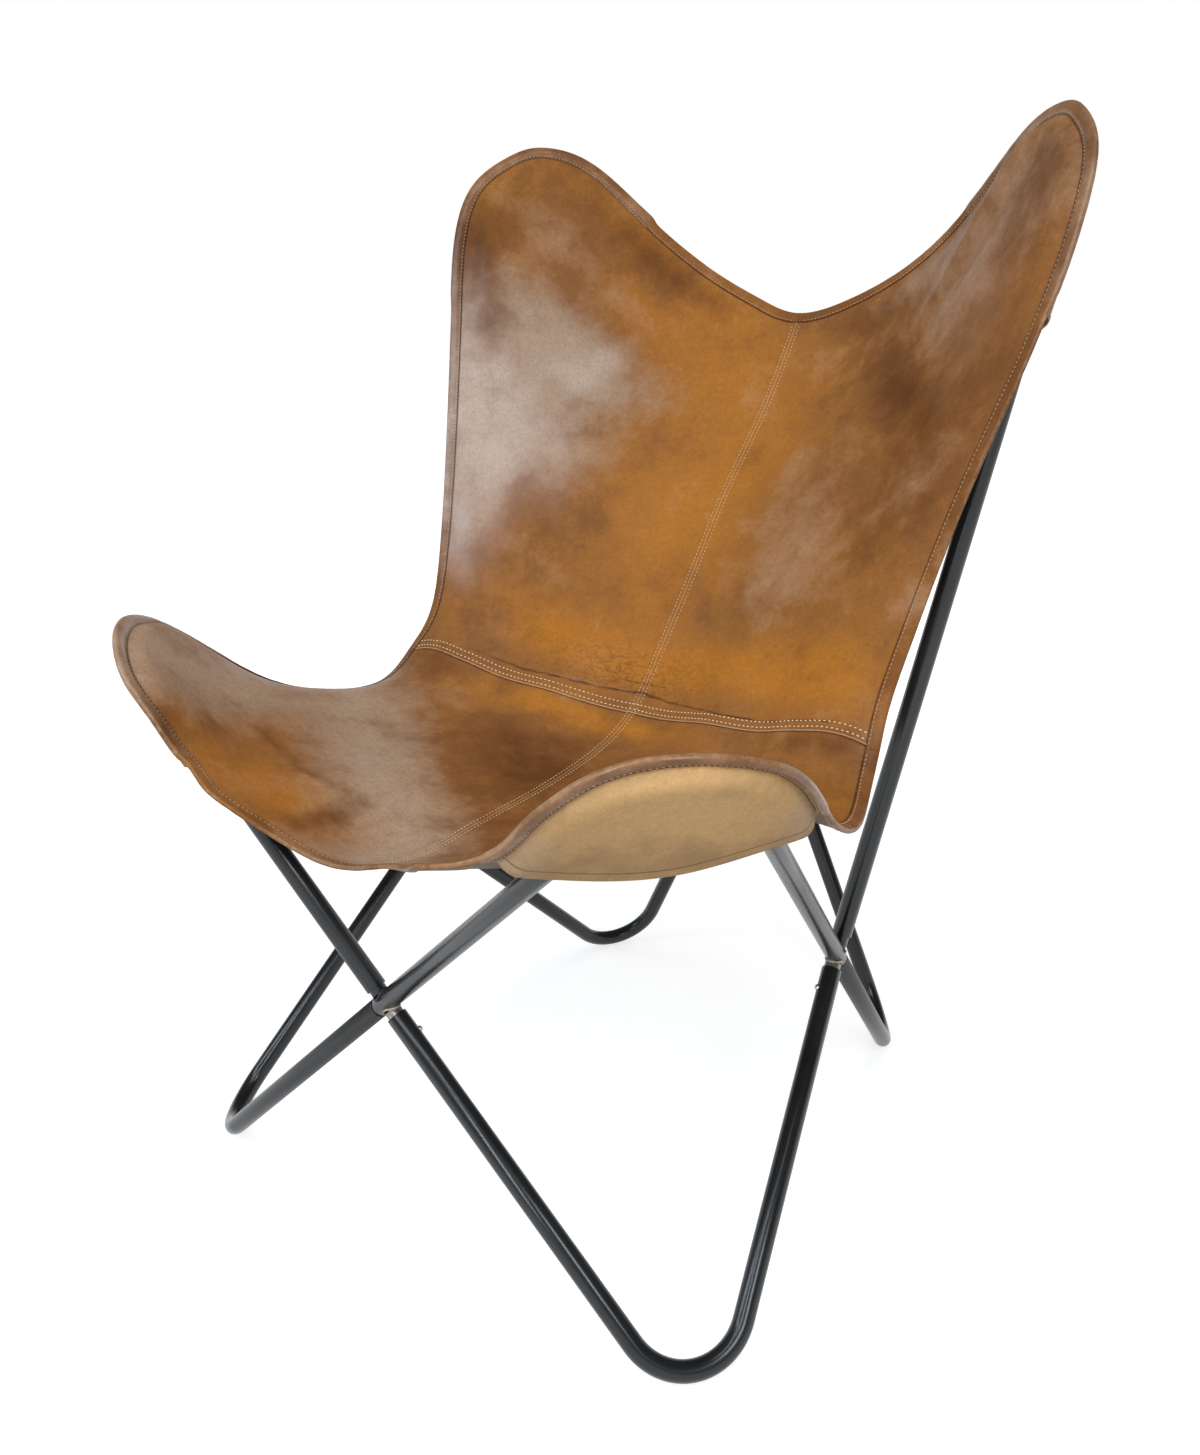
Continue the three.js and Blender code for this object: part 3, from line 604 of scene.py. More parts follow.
# Crossing stubs, spigots and their weld beads. At each crossing: the tube that runs through, the one on the
# upper stub, the one on the lower stub, and the foot in line with the first
crossings = {
    "front": ("front_right", "front_left", "front_right_foot", "front_left_foot"),
    "right": ("front_right", "back_right", "front_right_foot", "back_right_foot"),
    "left": ("front_left", "back_left", "front_left_foot", "back_left_foot"),
    "back": ("back_left", "back_right", "back_left_foot", "back_right_foot"),
}
STUB_SINK = 0.6
WELD_R = 1.5
WELD_RIPPLES = 26
WELD_STEPS, WELD_SIDES = 104, 10


def weld_bead(name, at, axis, away, material):
    """Rippled bead where a stub meets the round of the through tube"""
    side = unit(np.cross(away, axis))
    turn = np.linspace(0, 2 * math.pi, WELD_STEPS, endpoint=False)
    radial = circle(vec(0, 0, 0), side, np.cross(away, side), 1, WELD_STEPS)
    start = STUB_R * radial
    flat_start = start - np.outer(start @ axis, axis)
    flat_away = away - (away @ axis) * axis
    a = flat_away @ flat_away
    b = flat_start @ flat_away
    c = (flat_start ** 2).sum(1) - TUBE_R ** 2
    reach = (-b + np.sqrt(np.maximum(b * b - a * c, 0))) / a
    middle = at + start + np.outer(reach, away)
    ahead = unit(np.roll(middle, -1, 0) - np.roll(middle, 1, 0))
    out = across_of(radial, ahead)
    over = np.cross(ahead, out)
    wobble = np.array([noise.noise(Vector(p * 0.21)) for p in middle])
    size = WELD_R * (1 + 0.14 * np.sin(WELD_RIPPLES * turn + 2 * wobble) + 0.3 * wobble)
    rounds = np.linspace(0, 2 * math.pi, WELD_SIDES, endpoint=False)
    points = np.concatenate([middle + size[:, None] * (np.cos(r) * out + np.sin(r) * over) for r in rounds])
    faces = grid_faces(WELD_SIDES, WELD_STEPS, wrap_rows=True, wrap_columns=True)
    return new_piece(name, points, faces, [material])


def holes_on(at, away, long):
    """Buttons that stand on a bar which leaves a place in a direction"""
    holes = []
    for button in buttons.values():
        offset = button["at"] - at
        run = offset @ away
        if np.linalg.norm(offset - away * run) < TUBE_R and 0 < run < long:
            holes.append((button["at"], button["out"]))
    return holes


for place, (through, *ends) in crossings.items():
    at = cross[place]
    axis = unit(at - corner[through])
    for key, end in zip(("upper", "lower", "inline"), ends):
        away = unit(corner[end] - at)
        node = f"{place}_crossing_" + ("spigot" if key == "inline" else f"{key}_stub")
        run = (node_points(node) - at) @ away
        slant = math.sqrt(max(0, 1 - (away @ axis) ** 2))
        start = run.min() if key == "inline" else (TUBE_R - STUB_SINK) / max(slant, 0.3)
        line = straight_line(at + away * start, at + away * run.max())
        points, faces = sweep_skin(hollow(line, STUB_R, STUB_R - STUB_WALL), STUB_SIDES)
        metal, slot = (coat, "frame_tube") if key == "upper" else (bare_steel, "joint_steel")
        piece = new_piece(f"{node}_bar", points, faces, [metal])
        cut_holes(piece, holes_on(at, away, run.max()))
        piece.data.set_sharp_from_angle(angle=SHARP_ANGLE)
        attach(piece, CHAIR)
        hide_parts(node)
        if key != "inline":
            bead = weld_bead(f"{node}_weld", at, axis, away, metal)
            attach(bead, CHAIR)

# V springs inside the tubes: each clip is copied from its CAD node in spring steel
for node, button in buttons.items():
    clip = node.replace("button", "spring_clip")
    points = node_points(clip)
    faces = [tuple(face.vertices) for face in frame["nodes"][clip].data.polygons]
    piece = new_piece(f"{clip}_leaf", points, faces, [spring_steel], smooth=False)
    run = (points - button["at"]) @ button["out"]
    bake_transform(piece)
    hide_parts(clip)


# Sling surface
def natural_spline(knots, values):
    """Cubic spline with free ends through rows of values; returns a function of an array of places"""
    count = len(knots)
    gaps = np.diff(knots)
    system, sides = np.eye(count), np.zeros_like(values)
    for i in range(1, count - 1):
        system[i, i - 1:i + 2] = gaps[i - 1] / 6, (gaps[i - 1] + gaps[i]) / 3, gaps[i] / 6
        sides[i] = (values[i + 1] - values[i]) / gaps[i] - (values[i] - values[i - 1]) / gaps[i - 1]
    bend = np.linalg.solve(system, sides)

    def at(t):
        i = np.clip(np.searchsorted(knots, t, side="left") - 1, 0, count - 2)
        gap = gaps[i]
        b = ((t - knots[i]) / gap)[:, None]
        a = 1 - b
        ease = ((a ** 3 - a) * bend[i] + (b ** 3 - b) * bend[i + 1]) * (gap ** 2 / 6)[:, None]
        return a * values[i] + b * values[i + 1] + ease
    return at


def curve_through(points, pin_index, pin_at, mirrored=False):
    """Spline through points, with one of them pinned to a place; a mirrored one is smooth at the centre"""
    points = np.array(points)
    run = run_along(points)
    pin, total = run[pin_index], run[-1]
    knots = np.where(run <= pin, run / pin * pin_at, pin_at + (run - pin) / (total - pin) * (1 - pin_at))
    if mirrored:
        knots = np.concatenate([-knots[:0:-1], knots])
        points = np.concatenate([mirror(points[:0:-1]), points])
    return natural_spline(knots, points)


def lobe_of(bend):
    tube = bend["centre"] + bend["outward"] * bend["radius"]
    to_seat = (vec(0, 0, FRONT_CROSS_HEIGHT) - tube) @ bend["normal"]
    seatward = bend["normal"] * np.sign(to_seat)
    rim = tube + bend["outward"] * (TUBE_R + HEM_FLANGE) - seatward * RIM_DROP
    return {"tube": tube, "seatward": seatward, "rim": rim}


front_lobe = lobe_of(bends["front_right_upper_frame"])
back_lobe = lobe_of(bends["back_right_upper_frame"])
back_lobe["rim"] = back_lobe["rim"] + bends["back_right_upper_frame"]["sideways"] * BACK_TIP_SHIFT
tip_f, tip_b = front_lobe["rim"], back_lobe["rim"]

side_span = np.linalg.norm(tip_b - tip_f)
side_points = [tip_f + (tip_b - tip_f) * share + side_span / 1000 * vec(out, 0, -sag)
               for share, out, sag in SIDE_ROWS]
front_points = [tip_f * vec(share, 1, 1) + tip_f[0] / 1000 * vec(0, back, -sag)
                for share, back, sag in FRONT_ROWS]
top_points = [tip_b * vec(share, 1, 1) + tip_b[0] / 1000 * vec(0, back, -sag)
              for share, back, sag in TOP_ROWS]
chord = top_points[0] - front_points[0]
profile_points = [front_points[0] + chord * share - vec(0, 0, sag) * np.linalg.norm(chord) / 1000
                  for share, sag in PROFILE_ROWS]
side_edge = curve_through(side_points, SEAM_ROW, SEAM_AT)
profile = curve_through(profile_points, SEAM_ROW, SEAM_AT)
front_edge = curve_through(front_points, 5, 0.512, mirrored=True)
top_edge = curve_through(top_points, 4, 0.62, mirrored=True)


def across_sling(centre, edge, u):
    w = (u * u)[:, None]
    point = centre + (edge - centre) * w
    point[:, 0] = centre[:, 0] + (edge[:, 0] - centre[:, 0]) * u
    return point


def hanging(u, v):
    """Right half of the sling before it meets the tubes: u from the centre to the side, v from the front"""
    start, end = np.zeros_like(u), np.ones_like(u)
    point = across_sling(profile(v), side_edge(v), u)
    front_gap = front_edge(u) - across_sling(profile(start), side_edge(start), u)
    top_gap = top_edge(u) - across_sling(profile(end), side_edge(end), u)
    return point + front_gap * ((1 - v) ** 2)[:, None] + top_gap * (v ** 2)[:, None]


# Rim of the right half at even steps, from the front middle round to the top middle
RIM_STEP = 1.3
TIP_ROUND = 14.0
TIP_NEAR = 70.0
dense = np.linspace(0, 1, 1500)
still = np.zeros_like(dense)
raw_line = np.concatenate([front_edge(dense), side_edge(dense)[1:], top_edge(dense[::-1])[1:]])
raw_u = np.concatenate([dense, (still + 1)[1:], dense[::-1][1:]])
raw_v = np.concatenate([still, dense[1:], (still + 1)[1:]])
raw_run = run_along(raw_line)
rim_run = np.linspace(0, raw_run[-1], round(raw_run[-1] / RIM_STEP) + 1)
rim_u, rim_v = np.interp(rim_run, raw_run, raw_u), np.interp(rim_run, raw_run, raw_v)


def rounded_tips(line):
    """The rim with its two tips rounded"""
    reach = round(3 * TIP_ROUND / RIM_STEP)
    weights = np.exp(-0.5 * (np.arange(-reach, reach + 1) * RIM_STEP / TIP_ROUND) ** 2)
    soft = averaged(np.pad(line, ((reach, reach), (0, 0)), mode="edge"), weights)
    return line + (soft - line) * np.exp(-(from_tips(line) / TIP_NEAR) ** 2)[:, None]


def from_tips(points):
    return np.minimum(np.linalg.norm(points - tip_f, axis=1), np.linalg.norm(points - tip_b, axis=1))


rim_line = rounded_tips(read_off(rim_run, raw_run, raw_line))
rim_tree = tree_of(rim_line)


def rim_distance(points):
    """Distance to the rim and the number of its nearest place"""
    found = [rim_tree.find(p) for p in points]
    return np.array([f[2] for f in found]), np.array([f[1] for f in found])


def swell_at(distance, from_tip):
    """Share of the rise over a tube at a distance from the rim, on a shoulder that widens away from the tip"""
    run = SWELL_RUN + SWELL_SPREAD * np.clip(from_tip - SWELL_NEAR, 0, SWELL_FAR)
    rise = np.clip((distance - SWELL_START) / run, 0, 1)
    return RIM_SHARE + (1 - RIM_SHARE) * (1 - (1 - rise) ** 2)


def lifted(points, distance):
    """Raises the sling over the tubes of the two lobes"""
    need = TUBE_R + PANEL_PLAY + LEATHER / 2
    raised = points.copy()
    for lobe in (front_lobe, back_lobe):
        short = need - (points - lobe["tube"]) @ lobe["seatward"]
        lift = (short + np.hypot(short, LOBE_EASE)) / 2
        away = np.linalg.norm(points - lobe["rim"], axis=1)
        near = smoothstep(LOBE_REACH - away, 0, LOBE_REACH / 2)
        raised += np.outer(lift * near * swell_at(distance, away), lobe["seatward"])
    return raised


# Rim frames of the right half: directions inward across the hem, and up
FRAME_SMOOTH = 18
FRAME_GRID = (170, 360)


def rim_frames():
    us, vs = (np.linspace(0, 1, count) for count in FRAME_GRID)
    v, u = (a.ravel() for a in np.meshgrid(vs, us, indexing="ij"))
    points = hanging(u, v)
    distance, _ = rim_distance(points)
    inner = tree_of(points[(distance > HEM_WIDTH - 4) & (distance < HEM_WIDTH)])
    ahead = unit(np.gradient(rim_line, axis=0))
    inward = across_of(np.array([inner.find(p)[0] for p in rim_line]) - rim_line, ahead)
    before, after = mirror(inward[FRAME_SMOOTH:0:-1]), mirror(inward[-2:-FRAME_SMOOTH - 2:-1])
    smooth = averaged(np.concatenate([before, inward, after]), np.hanning(2 * FRAME_SMOOTH + 1))
    inward = across_of(smooth, ahead)
    return inward, np.cross(ahead, inward)


rim_inward, rim_up = rim_frames()
hem_line = lifted(rim_line, np.zeros(len(rim_line)))


def field(points, wave, seed):
    """Smooth noise over points, about -1 to 1, with a wavelength in millimetres"""
    shift = Vector((seed * 17.3, seed * 7.7, seed * 3.1))
    return np.array([noise.noise(Vector(p) / wave + shift) for p in points])


# Mottles of the pull-up leather: place on the sling (u from -1 left to 1 right, v from front to top),
# reach across and along in millimetres, what it adds, and turn in degrees and edge hardness if not 0 and 2.
# The grey layer is wax bloom mixed with painted sheen
MOTTLES = {
    "glow": [
        (-0.14, 0.8, 75, 190, 0.55), (-0.2, 0.93, 60, 80, 0.35), (0.06, 0.78, 45, 110, 0.4, -10, 2),
        (-0.22, 0.66, 70, 80, 0.45), (-0.1, 0.57, 60, 50, 0.4), (0.15, 0.64, 60, 70, 0.2),
        (-0.4, 0.49, 130, 36, 0.9), (0.32, 0.495, 130, 36, 0.9), (0.78, 0.47, 70, 36, 0.8),
        (0.65, 0.6, 90, 80, 0.2), (-0.6, 0.975, 90, 26, 0.42), (-0.95, 0.9, 22, 60, 0.4),
        (-0.43, 0.035, 62, 60, 0.42, 20, 3), (-0.38, 0.085, 50, 55, 0.36, -25, 3),
        (-0.15, 0.405, 120, 22, 1.0), (0.93, 0.34, 30, 70, 0.4), (-0.52, 0.91, 40, 30, 0.5),
    ],
    "dusk": [
        (0.5, 0.815, 165, 30, 0.8, -62, 2), (-0.85, 0.405, 80, 26, 0.6), (-0.2, 0.32, 55, 75, 0.75, 20, 2),
        (-0.02, 0.27, 40, 130, 0.6), (0.82, 0.41, 70, 20, 0.6), (-0.26, 0.075, 13, 60, 0.7, 0, 2.5),
        (-0.48, 0.127, 60, 10, 0.5, 0, 2.5), (-0.75, 0.49, 70, 22, 0.35), (-0.55, 0.56, 50, 40, 0.3),
        (-0.94, 0.84, 26, 90, 0.9), (0.7, 0.62, 40, 60, 0.3), (0.86, 0.72, 40, 90, 0.3),
        (0.07, 0.13, 40, 70, 0.4), (-0.62, 0.03, 14, 60, 0.45), (-0.5, 0.965, 80, 26, 0.7),
        (0.9, 0.36, 40, 60, 0.3), (0.9, 0.93, 45, 90, 0.4), (0.3, 0.96, 45, 30, 0.3),
    ],
    # Grey layer: wax bloom mixed with painted sheen; the patches on the left of the back, the seat and the right
    # back lobe paint reflections of the windows and the bright room
    "bloom_and_sheen": [
        (-0.92, 0.63, 48, 120, 0.8, 0, 3), (-0.74, 0.73, 85, 110, 0.75, 0, 3),
        (-0.62, 0.815, 85, 55, 0.7, 0, 3), (-0.74, 0.91, 55, 28, 0.38), (0.74, 0.92, 95, 70, 0.5),
        (0.45, 0.965, 55, 20, 0.5), (0.33, 0.68, 60, 110, 0.32, 20, 2), (0.32, 0.58, 55, 40, 0.28),
        (-0.46, 0.215, 230, 58, 1.0, -51, 3), (-0.8, 0.1, 46, 160, 1.0, 0, 3), (0.0, 0.03, 70, 30, 0.4),
        (0.8, 0.66, 50, 70, 0.25), (-0.05, 0.05, 40, 70, 0.4),
    ],
    "gloss": [
        (-0.92, 0.65, 60, 170, 0.8, 0, 4), (-0.72, 0.74, 85, 120, 0.6, 0, 4),
        (-0.6, 0.81, 70, 50, 0.5, 0, 4), (-0.48, 0.55, 110, 85, -0.3, 0, 3),
        (-0.38, 0.93, 80, 80, -0.35, 0, 3), (0.92, 0.55, 45, 100, -0.3), (0.45, 0.92, 60, 60, 0.3),
        (-0.92, 0.93, 60, 80, -0.35, 0, 3), (-0.5, 0.05, 110, 110, -0.2, 0, 3),
    ],
}
EVEN_GLOSS = 0.22
ACROSS_MM, ALONG_MM = 330, 1290


def mottle_layer(kind, u, v):
    total = np.zeros_like(u)
    for at_u, at_v, reach_u, reach_v, amount, *shape in MOTTLES[kind]:
        turn, hard = shape or (0, 2)
        x, y = (u - at_u) * ACROSS_MM, (v - at_v) * ALONG_MM
        c, s = math.cos(math.radians(turn)), math.sin(math.radians(turn))
        r = np.hypot((x * c + y * s) / reach_u, (y * c - x * s) / reach_v)
        total += amount * np.exp(-0.7 * r ** hard)
    return total


def mottle_colours(u, v):
    layers = [mottle_layer(kind, u, v) for kind in ("glow", "dusk", "bloom_and_sheen")]
    return np.clip(np.stack([*layers, EVEN_GLOSS + mottle_layer("gloss", u, v)], 1), 0, 1)


def steps_between(start, end, length, fine_start, fine_end, coarse):
    """Places from start to end along a length in millimetres, with given fine distances at both ends"""
    inner = np.arange(fine_start[-1] + coarse, length - fine_end[-1] - 0.5 * coarse, coarse)
    stops = np.concatenate([fine_start, inner, length - np.array(fine_end[::-1])])
    return start + (end - start) * stops / length


CUT_BACK = 5.0
SEAM_FINE = [0, 0.5, 1.2, 2.2, 3.5, 5, 7, 9.5, 12.5]
EDGE_FINE = [0, 2.5, 5, 7.5, 10, 12.5, 14.5, 16.5, 19, 22, 25, 28]
GRID_ACROSS, GRID_ALONG = 3.2, 4.5
CENTRE_ROW = 4.4
CREASE_BAND = 95


def normals_of(grid):
    """Upper-side normals of a grid of points, rows along v and columns along u"""
    along_v, along_u = np.gradient(grid, axis=0), np.gradient(grid, axis=1)
    normal = np.cross(along_u, along_v)
    length = np.linalg.norm(normal, axis=2, keepdims=True)
    return normal / np.maximum(length, 1e-9)


def shell_piece(name, grid, normal, top, bottom, keep, materials, attributes):
    """Closed leather shell about a grid: top and bottom skins of the kept cells and walls round them"""
    rows, columns = keep.shape
    flat_normal = normal.reshape(-1, 3)
    flat = grid.reshape(-1, 3)
    points = np.concatenate([flat + flat_normal * top.reshape(-1, 1),
                             flat - flat_normal * bottom.reshape(-1, 1)])
    under = rows * columns
    faces, kinds, edges = [], [], {}
    for j in range(rows - 1):
        for i in range(columns - 1):
            ring = (j * columns + i, j * columns + i + 1, (j + 1) * columns + i + 1, (j + 1) * columns + i)
            if not all(keep.flat[k] for k in ring):
                continue
            faces.append(ring)
            kinds.append(0)
            faces.append(tuple(under + k for k in reversed(ring)))
            kinds.append(1)
            for a, b in zip(ring, ring[1:] + ring[:1]):
                if (b, a) in edges:
                    del edges[(b, a)]
                else:
                    edges[(a, b)] = True
    for a, b in edges:
        faces.append((a, under + a, under + b, b))
        kinds.append(0)
    used = np.unique(np.concatenate([np.array(f) for f in faces]))
    index = np.full(len(points), -1)
    index[used] = np.arange(len(used))
    faces = [tuple(int(index[k]) for k in f) for f in faces]
    doubled = {key: np.concatenate([value, value])[used] for key, value in attributes.items()}
    return new_piece(name, points[used], faces, materials, kinds, doubled)


CREASE_WIDE = 1.5
# How strongly painted shade darkens the crease line and the seat under the back panel's lapped edge
PAINTED_SHADE = 2.0
WRINKLE_LIFTS = (11, 18, 25, 33, 42)


def crease_line(u):
    """How far the fold lies above the cross seam, in millimetres"""
    return 12 + 14 * np.exp(-((u + 0.02) / 0.3) ** 2) + 7 * np.exp(-((u + 0.6) / 0.25) ** 2)


def crease_depth(points, u, above_seam):
    """Fold above the cross seam with wrinkles over it: depth, share of painted shade along the fold
    and where the leather is crackled
    """
    wander = 1.8 * field(points, 60, 3) + 1.3 * field(points, 9, 4)
    line = above_seam - crease_line(u) - wander
    reach = smoothstep(u, -0.8, -0.45) * (1 - 0.45 * smoothstep(u, 0.1, 0.35)) * (1 - smoothstep(u, 0.7, 0.95))
    broken = np.clip(0.8 + 0.9 * field(points, 14, 5), 0.15, 1.3)
    narrow = np.exp(-(line / CREASE_WIDE) ** 2)
    fold = -0.9 * broken * narrow + 0.35 * np.exp(-((line - 5) / 4) ** 2)
    wrinkle = np.zeros_like(u)
    for k, lift in enumerate(WRINKLE_LIFTS):
        track = line - lift - 5 * field(points, 40, 7 + k) - 1.2 * field(points, 8, 13 + k)
        strength = np.clip(0.35 + 1.3 * field(points, 45, 20 + k), 0, 1)
        wrinkle -= 0.4 * np.exp(-(track / CREASE_WIDE) ** 2) * strength
    middle = np.exp(-((u + 0.08) / 0.27) ** 2)
    puckers = smoothstep(above_seam, 14, 30) * (1 - smoothstep(above_seam, 55, 90))
    return fold * reach + wrinkle * middle, broken * narrow * reach, puckers * np.exp(-((u + 0.1) / 0.32) ** 2)


SWAY, SWAY_AT, SWAY_DIP = 10.0, 48, 4.0
SWAY_FROM, SWAY_TO = -360, -230


def swayed(points):
    """The seat's front edge hangs lower left of the middle than right of it"""
    x, y = points[..., 0] / SWAY_AT, points[..., 1]
    rise = SWAY * x * np.exp(0.5 - 0.5 * x ** 2) - SWAY_DIP * np.exp(-x ** 2)
    return points + (rise * (1 - smoothstep(y, SWAY_FROM, SWAY_TO)))[..., None] * vec(0, 0, 1)


LAP = 12.0
EDGE_THICK = 0.75
SKIVE_GAP = 0.15
RIDGE_FROM = (0.9, 0.985)
RIDGE_TO = (0.3, 0.885)
RIDGE_RISE = 4.2


def lobe_ridge(u, v):
    """Soft ridge where the leather runs off the right back frame's inner leg, with a valley towards the hem"""
    a, b = vec(*RIDGE_FROM) * vec(ACROSS_MM, ALONG_MM), vec(*RIDGE_TO) * vec(ACROSS_MM, ALONG_MM)
    ahead = (b - a) / np.linalg.norm(b - a)
    offset = np.stack([u * ACROSS_MM, v * ALONG_MM], 1) - a
    run = offset @ ahead / np.linalg.norm(b - a)
    beside = offset @ vec(ahead[1], -ahead[0])
    fade = smoothstep(run, -0.05, 0.2) * (1 - smoothstep(run, 0.35, 1.0))
    return RIDGE_RISE * fade * (np.exp(-(beside / 13) ** 2) - np.exp(-((beside + 30) / 18) ** 2))


def skived(is_back, from_seam):
    """Heights of the upper and lower face where the two panels lap, thinned so that they lie nearly flush"""
    half = LEATHER / 2
    top, low = np.full_like(from_seam, half), np.full_like(from_seam, -half)
    slope = (LEATHER - EDGE_THICK) / LAP
    if is_back:
        low = np.minimum(half - EDGE_THICK, np.maximum(-half, half - EDGE_THICK - slope * from_seam))
        low = np.where(from_seam < LAP, low, -half)
        rounded = np.sqrt(np.clip(1 - (1 - np.clip(from_seam / 0.9, 0, 1)) ** 2, 0.1, 1))
        top = low + (half - low) * rounded
    else:
        under = half - EDGE_THICK - SKIVE_GAP + slope * np.minimum(from_seam, 0)
        top = half - (half - under) * (1 - smoothstep(from_seam, -0.6, 3.0))
        low = -half - slope * 0.6 * np.clip(-from_seam, 0, LAP)
    return top, low


SEAM_EXTRA = [2, 5, 8, LAP]
CREASE_ROWS = 62
LOOSE_WAVES = ((1.4, 150, 1), (0.6, 55, 2))
SEAM_RISE, SEAM_GROOVE, GROOVE_HALF = 0.4, 0.45, 0.9


def flipped(values, rows, columns):
    """Values of a grid's points with each row turned end for end"""
    return values.reshape(rows, columns, -1)[:, ::-1].reshape(values.shape)


def panel_rows(from_v, to_v, is_back):
    """Places of a panel's rows, and the number of the row on the cross seam"""
    long = (to_v - from_v) * ALONG_MM
    if is_back:
        vs = steps_between(from_v, to_v, long, SEAM_FINE, EDGE_FINE, GRID_ALONG)
        extra = np.linspace(from_v, from_v + CREASE_BAND / ALONG_MM, CREASE_ROWS)[1:]
        return np.unique(np.concatenate([vs, extra])), 0
    vs = steps_between(from_v, to_v, long, EDGE_FINE, SEAM_FINE, GRID_ALONG)
    return np.append(vs, to_v + np.array(SEAM_EXTRA) / ALONG_MM), len(vs) - 1


def panel_piece(name, sign, from_v, to_v, is_back):
    us = steps_between(0, 1, ACROSS_MM, SEAM_FINE, EDGE_FINE, GRID_ACROSS)
    vs, seam_row = panel_rows(from_v, to_v, is_back)
    rows, columns = len(vs), len(us)
    v, u = (a.ravel() for a in np.meshgrid(vs, us, indexing="ij"))
    bow = SEAM_BOW * (0.35 * u ** 2 + 0.65 * (1 - (1 - u) ** 2))
    v = v - bow * np.where(v > SEAM_AT, (1 - v) / (1 - SEAM_AT), v / SEAM_AT)
    flat = hanging(u, v)
    distance, nearest = rim_distance(flat)
    inside = ((flat - rim_line[nearest]) * rim_inward[nearest]).sum(1) > 0
    points = lifted(flat, distance)
    grid = points.reshape(rows, columns, 3)
    step_v = np.linalg.norm(np.diff(grid, axis=0), axis=2)
    step_u = np.linalg.norm(np.diff(grid, axis=1), axis=2)
    from_seam = np.concatenate([np.zeros((1, columns)), np.cumsum(step_v, axis=0)])
    from_seam = (from_seam if is_back else from_seam[seam_row] - from_seam).ravel()
    from_middle = np.concatenate([np.zeros((rows, 1)), np.cumsum(step_u, axis=1)], axis=1).ravel()

    # Small relief: loose waves, the centre seam, the crease and the ridge
    place = flat * vec(sign, 1, 1)
    loose = smoothstep(from_tips(flat), 120, 240) * smoothstep(distance, 14, 60)
    lift = loose * sum(high * field(place, wave, seed) for high, wave, seed in LOOSE_WAVES)
    lift += SEAM_RISE * (1 - smoothstep(from_middle, CENTRE_ROW + 0.8, CENTRE_ROW + 3))
    lift -= SEAM_GROOVE * np.exp(-(from_middle / GROOVE_HALF) ** 2)
    crackle = np.zeros_like(u)
    raw = 0.5 * (1 - smoothstep(from_middle, 0.3, 1.3))
    if is_back:
        depth, dark, crackle = crease_depth(place, sign * u, from_seam)
        lift += depth * smoothstep(distance, 14, 30)
        if sign > 0:
            lift += lobe_ridge(u, v) * smoothstep(distance, 13, 26)
        raw = np.maximum(raw, 1 - smoothstep(from_seam, 0.5, 1.1))
    else:
        # Painted shadow on the seat just below the back panel's lapped edge
        dark = 1 - smoothstep(from_seam, 0.6, 2.4)
    moved = (points + normals_of(grid).reshape(-1, 3) * lift[:, None]).reshape(rows, columns, 3)
    top, low = (height.reshape(rows, columns) for height in skived(is_back, from_seam))
    keep = (inside & (distance >= CUT_BACK)).reshape(rows, columns)
    colours = mottle_colours(sign * u, v)
    # Painted shade: the crease line and the seat under the lap are darkened through the dark share
    colours[:, 1] = np.clip(colours[:, 1] + PAINTED_SHADE * dark, 0, 1)
    attributes = {"mottle": colours, "rim": distance, "raw": raw, "crackle": crackle}
    if sign < 0:
        moved, top, low, keep = (a[:, ::-1] for a in (moved * vec(-1, 1, 1), top, low, keep))
        attributes = {key: flipped(value, rows, columns) for key, value in attributes.items()}
    moved = swayed(moved)
    normal = normals_of(moved)
    piece = shell_piece(name, moved, normal, top, -low, keep, [saddle, suede], attributes)
    measures = {"from_seam": from_seam, "from_middle": from_middle, "rim": distance}
    surface = {key: value.reshape(rows, columns)[:, ::sign] for key, value in measures.items()}
    surface.update(skin=moved + normal * top[:, :, None], normal=normal)
    return piece, surface


panels, surfaces = {}, {}
for word, sign in SIDES:
    for part, from_v, to_v in (("seat", 0, SEAM_AT), ("back", SEAM_AT, 1)):
        name = f"{part}_panel_{word}"
        panels[name], surfaces[name] = panel_piece(f"{name}_leather", sign, from_v, to_v, part == "back")
        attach(panels[name], CHAIR)
        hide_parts(name)


# Share of the rim that has a pocket under it
FRONT_MOUTH = (0.54, 0.168)
BACK_MOUTH = (0.62, 0.2)
POCKET_FADE = 12


def rim_index(edge, place):
    """Number of the rim's place nearest to a place on one of the edges"""
    return rim_tree.find(edge(np.array([place]))[0])[1]


pocket_stretches = [
    (rim_run[rim_index(front_edge, FRONT_MOUTH[0])], rim_run[rim_index(side_edge, FRONT_MOUTH[1])]),
    (rim_run[rim_index(side_edge, 1 - BACK_MOUTH[1])], rim_run[rim_index(top_edge, BACK_MOUTH[0])]),
]
rim_pocket = sum(smoothstep(rim_run, a - POCKET_FADE, a + POCKET_FADE)
                 * (1 - smoothstep(rim_run, b - POCKET_FADE, b + POCKET_FADE)) for a, b in pocket_stretches)

# The hem steps out where a pocket ends on the front or top edge
POCKET_ROLL, POCKET_KINK = 1.5, 2.4
KINK_FADE, KINK_SOFT = 35, 7
kinks = ((pocket_stretches[0][0], 1), (pocket_stretches[1][1], -1))
rim_kink = sum(np.exp(-np.abs(rim_run - at) / KINK_FADE)
               * smoothstep(way * (rim_run - at), -KINK_SOFT, KINK_SOFT) for at, way in kinks)
rim_roll = POCKET_ROLL * rim_pocket + POCKET_KINK * rim_kink

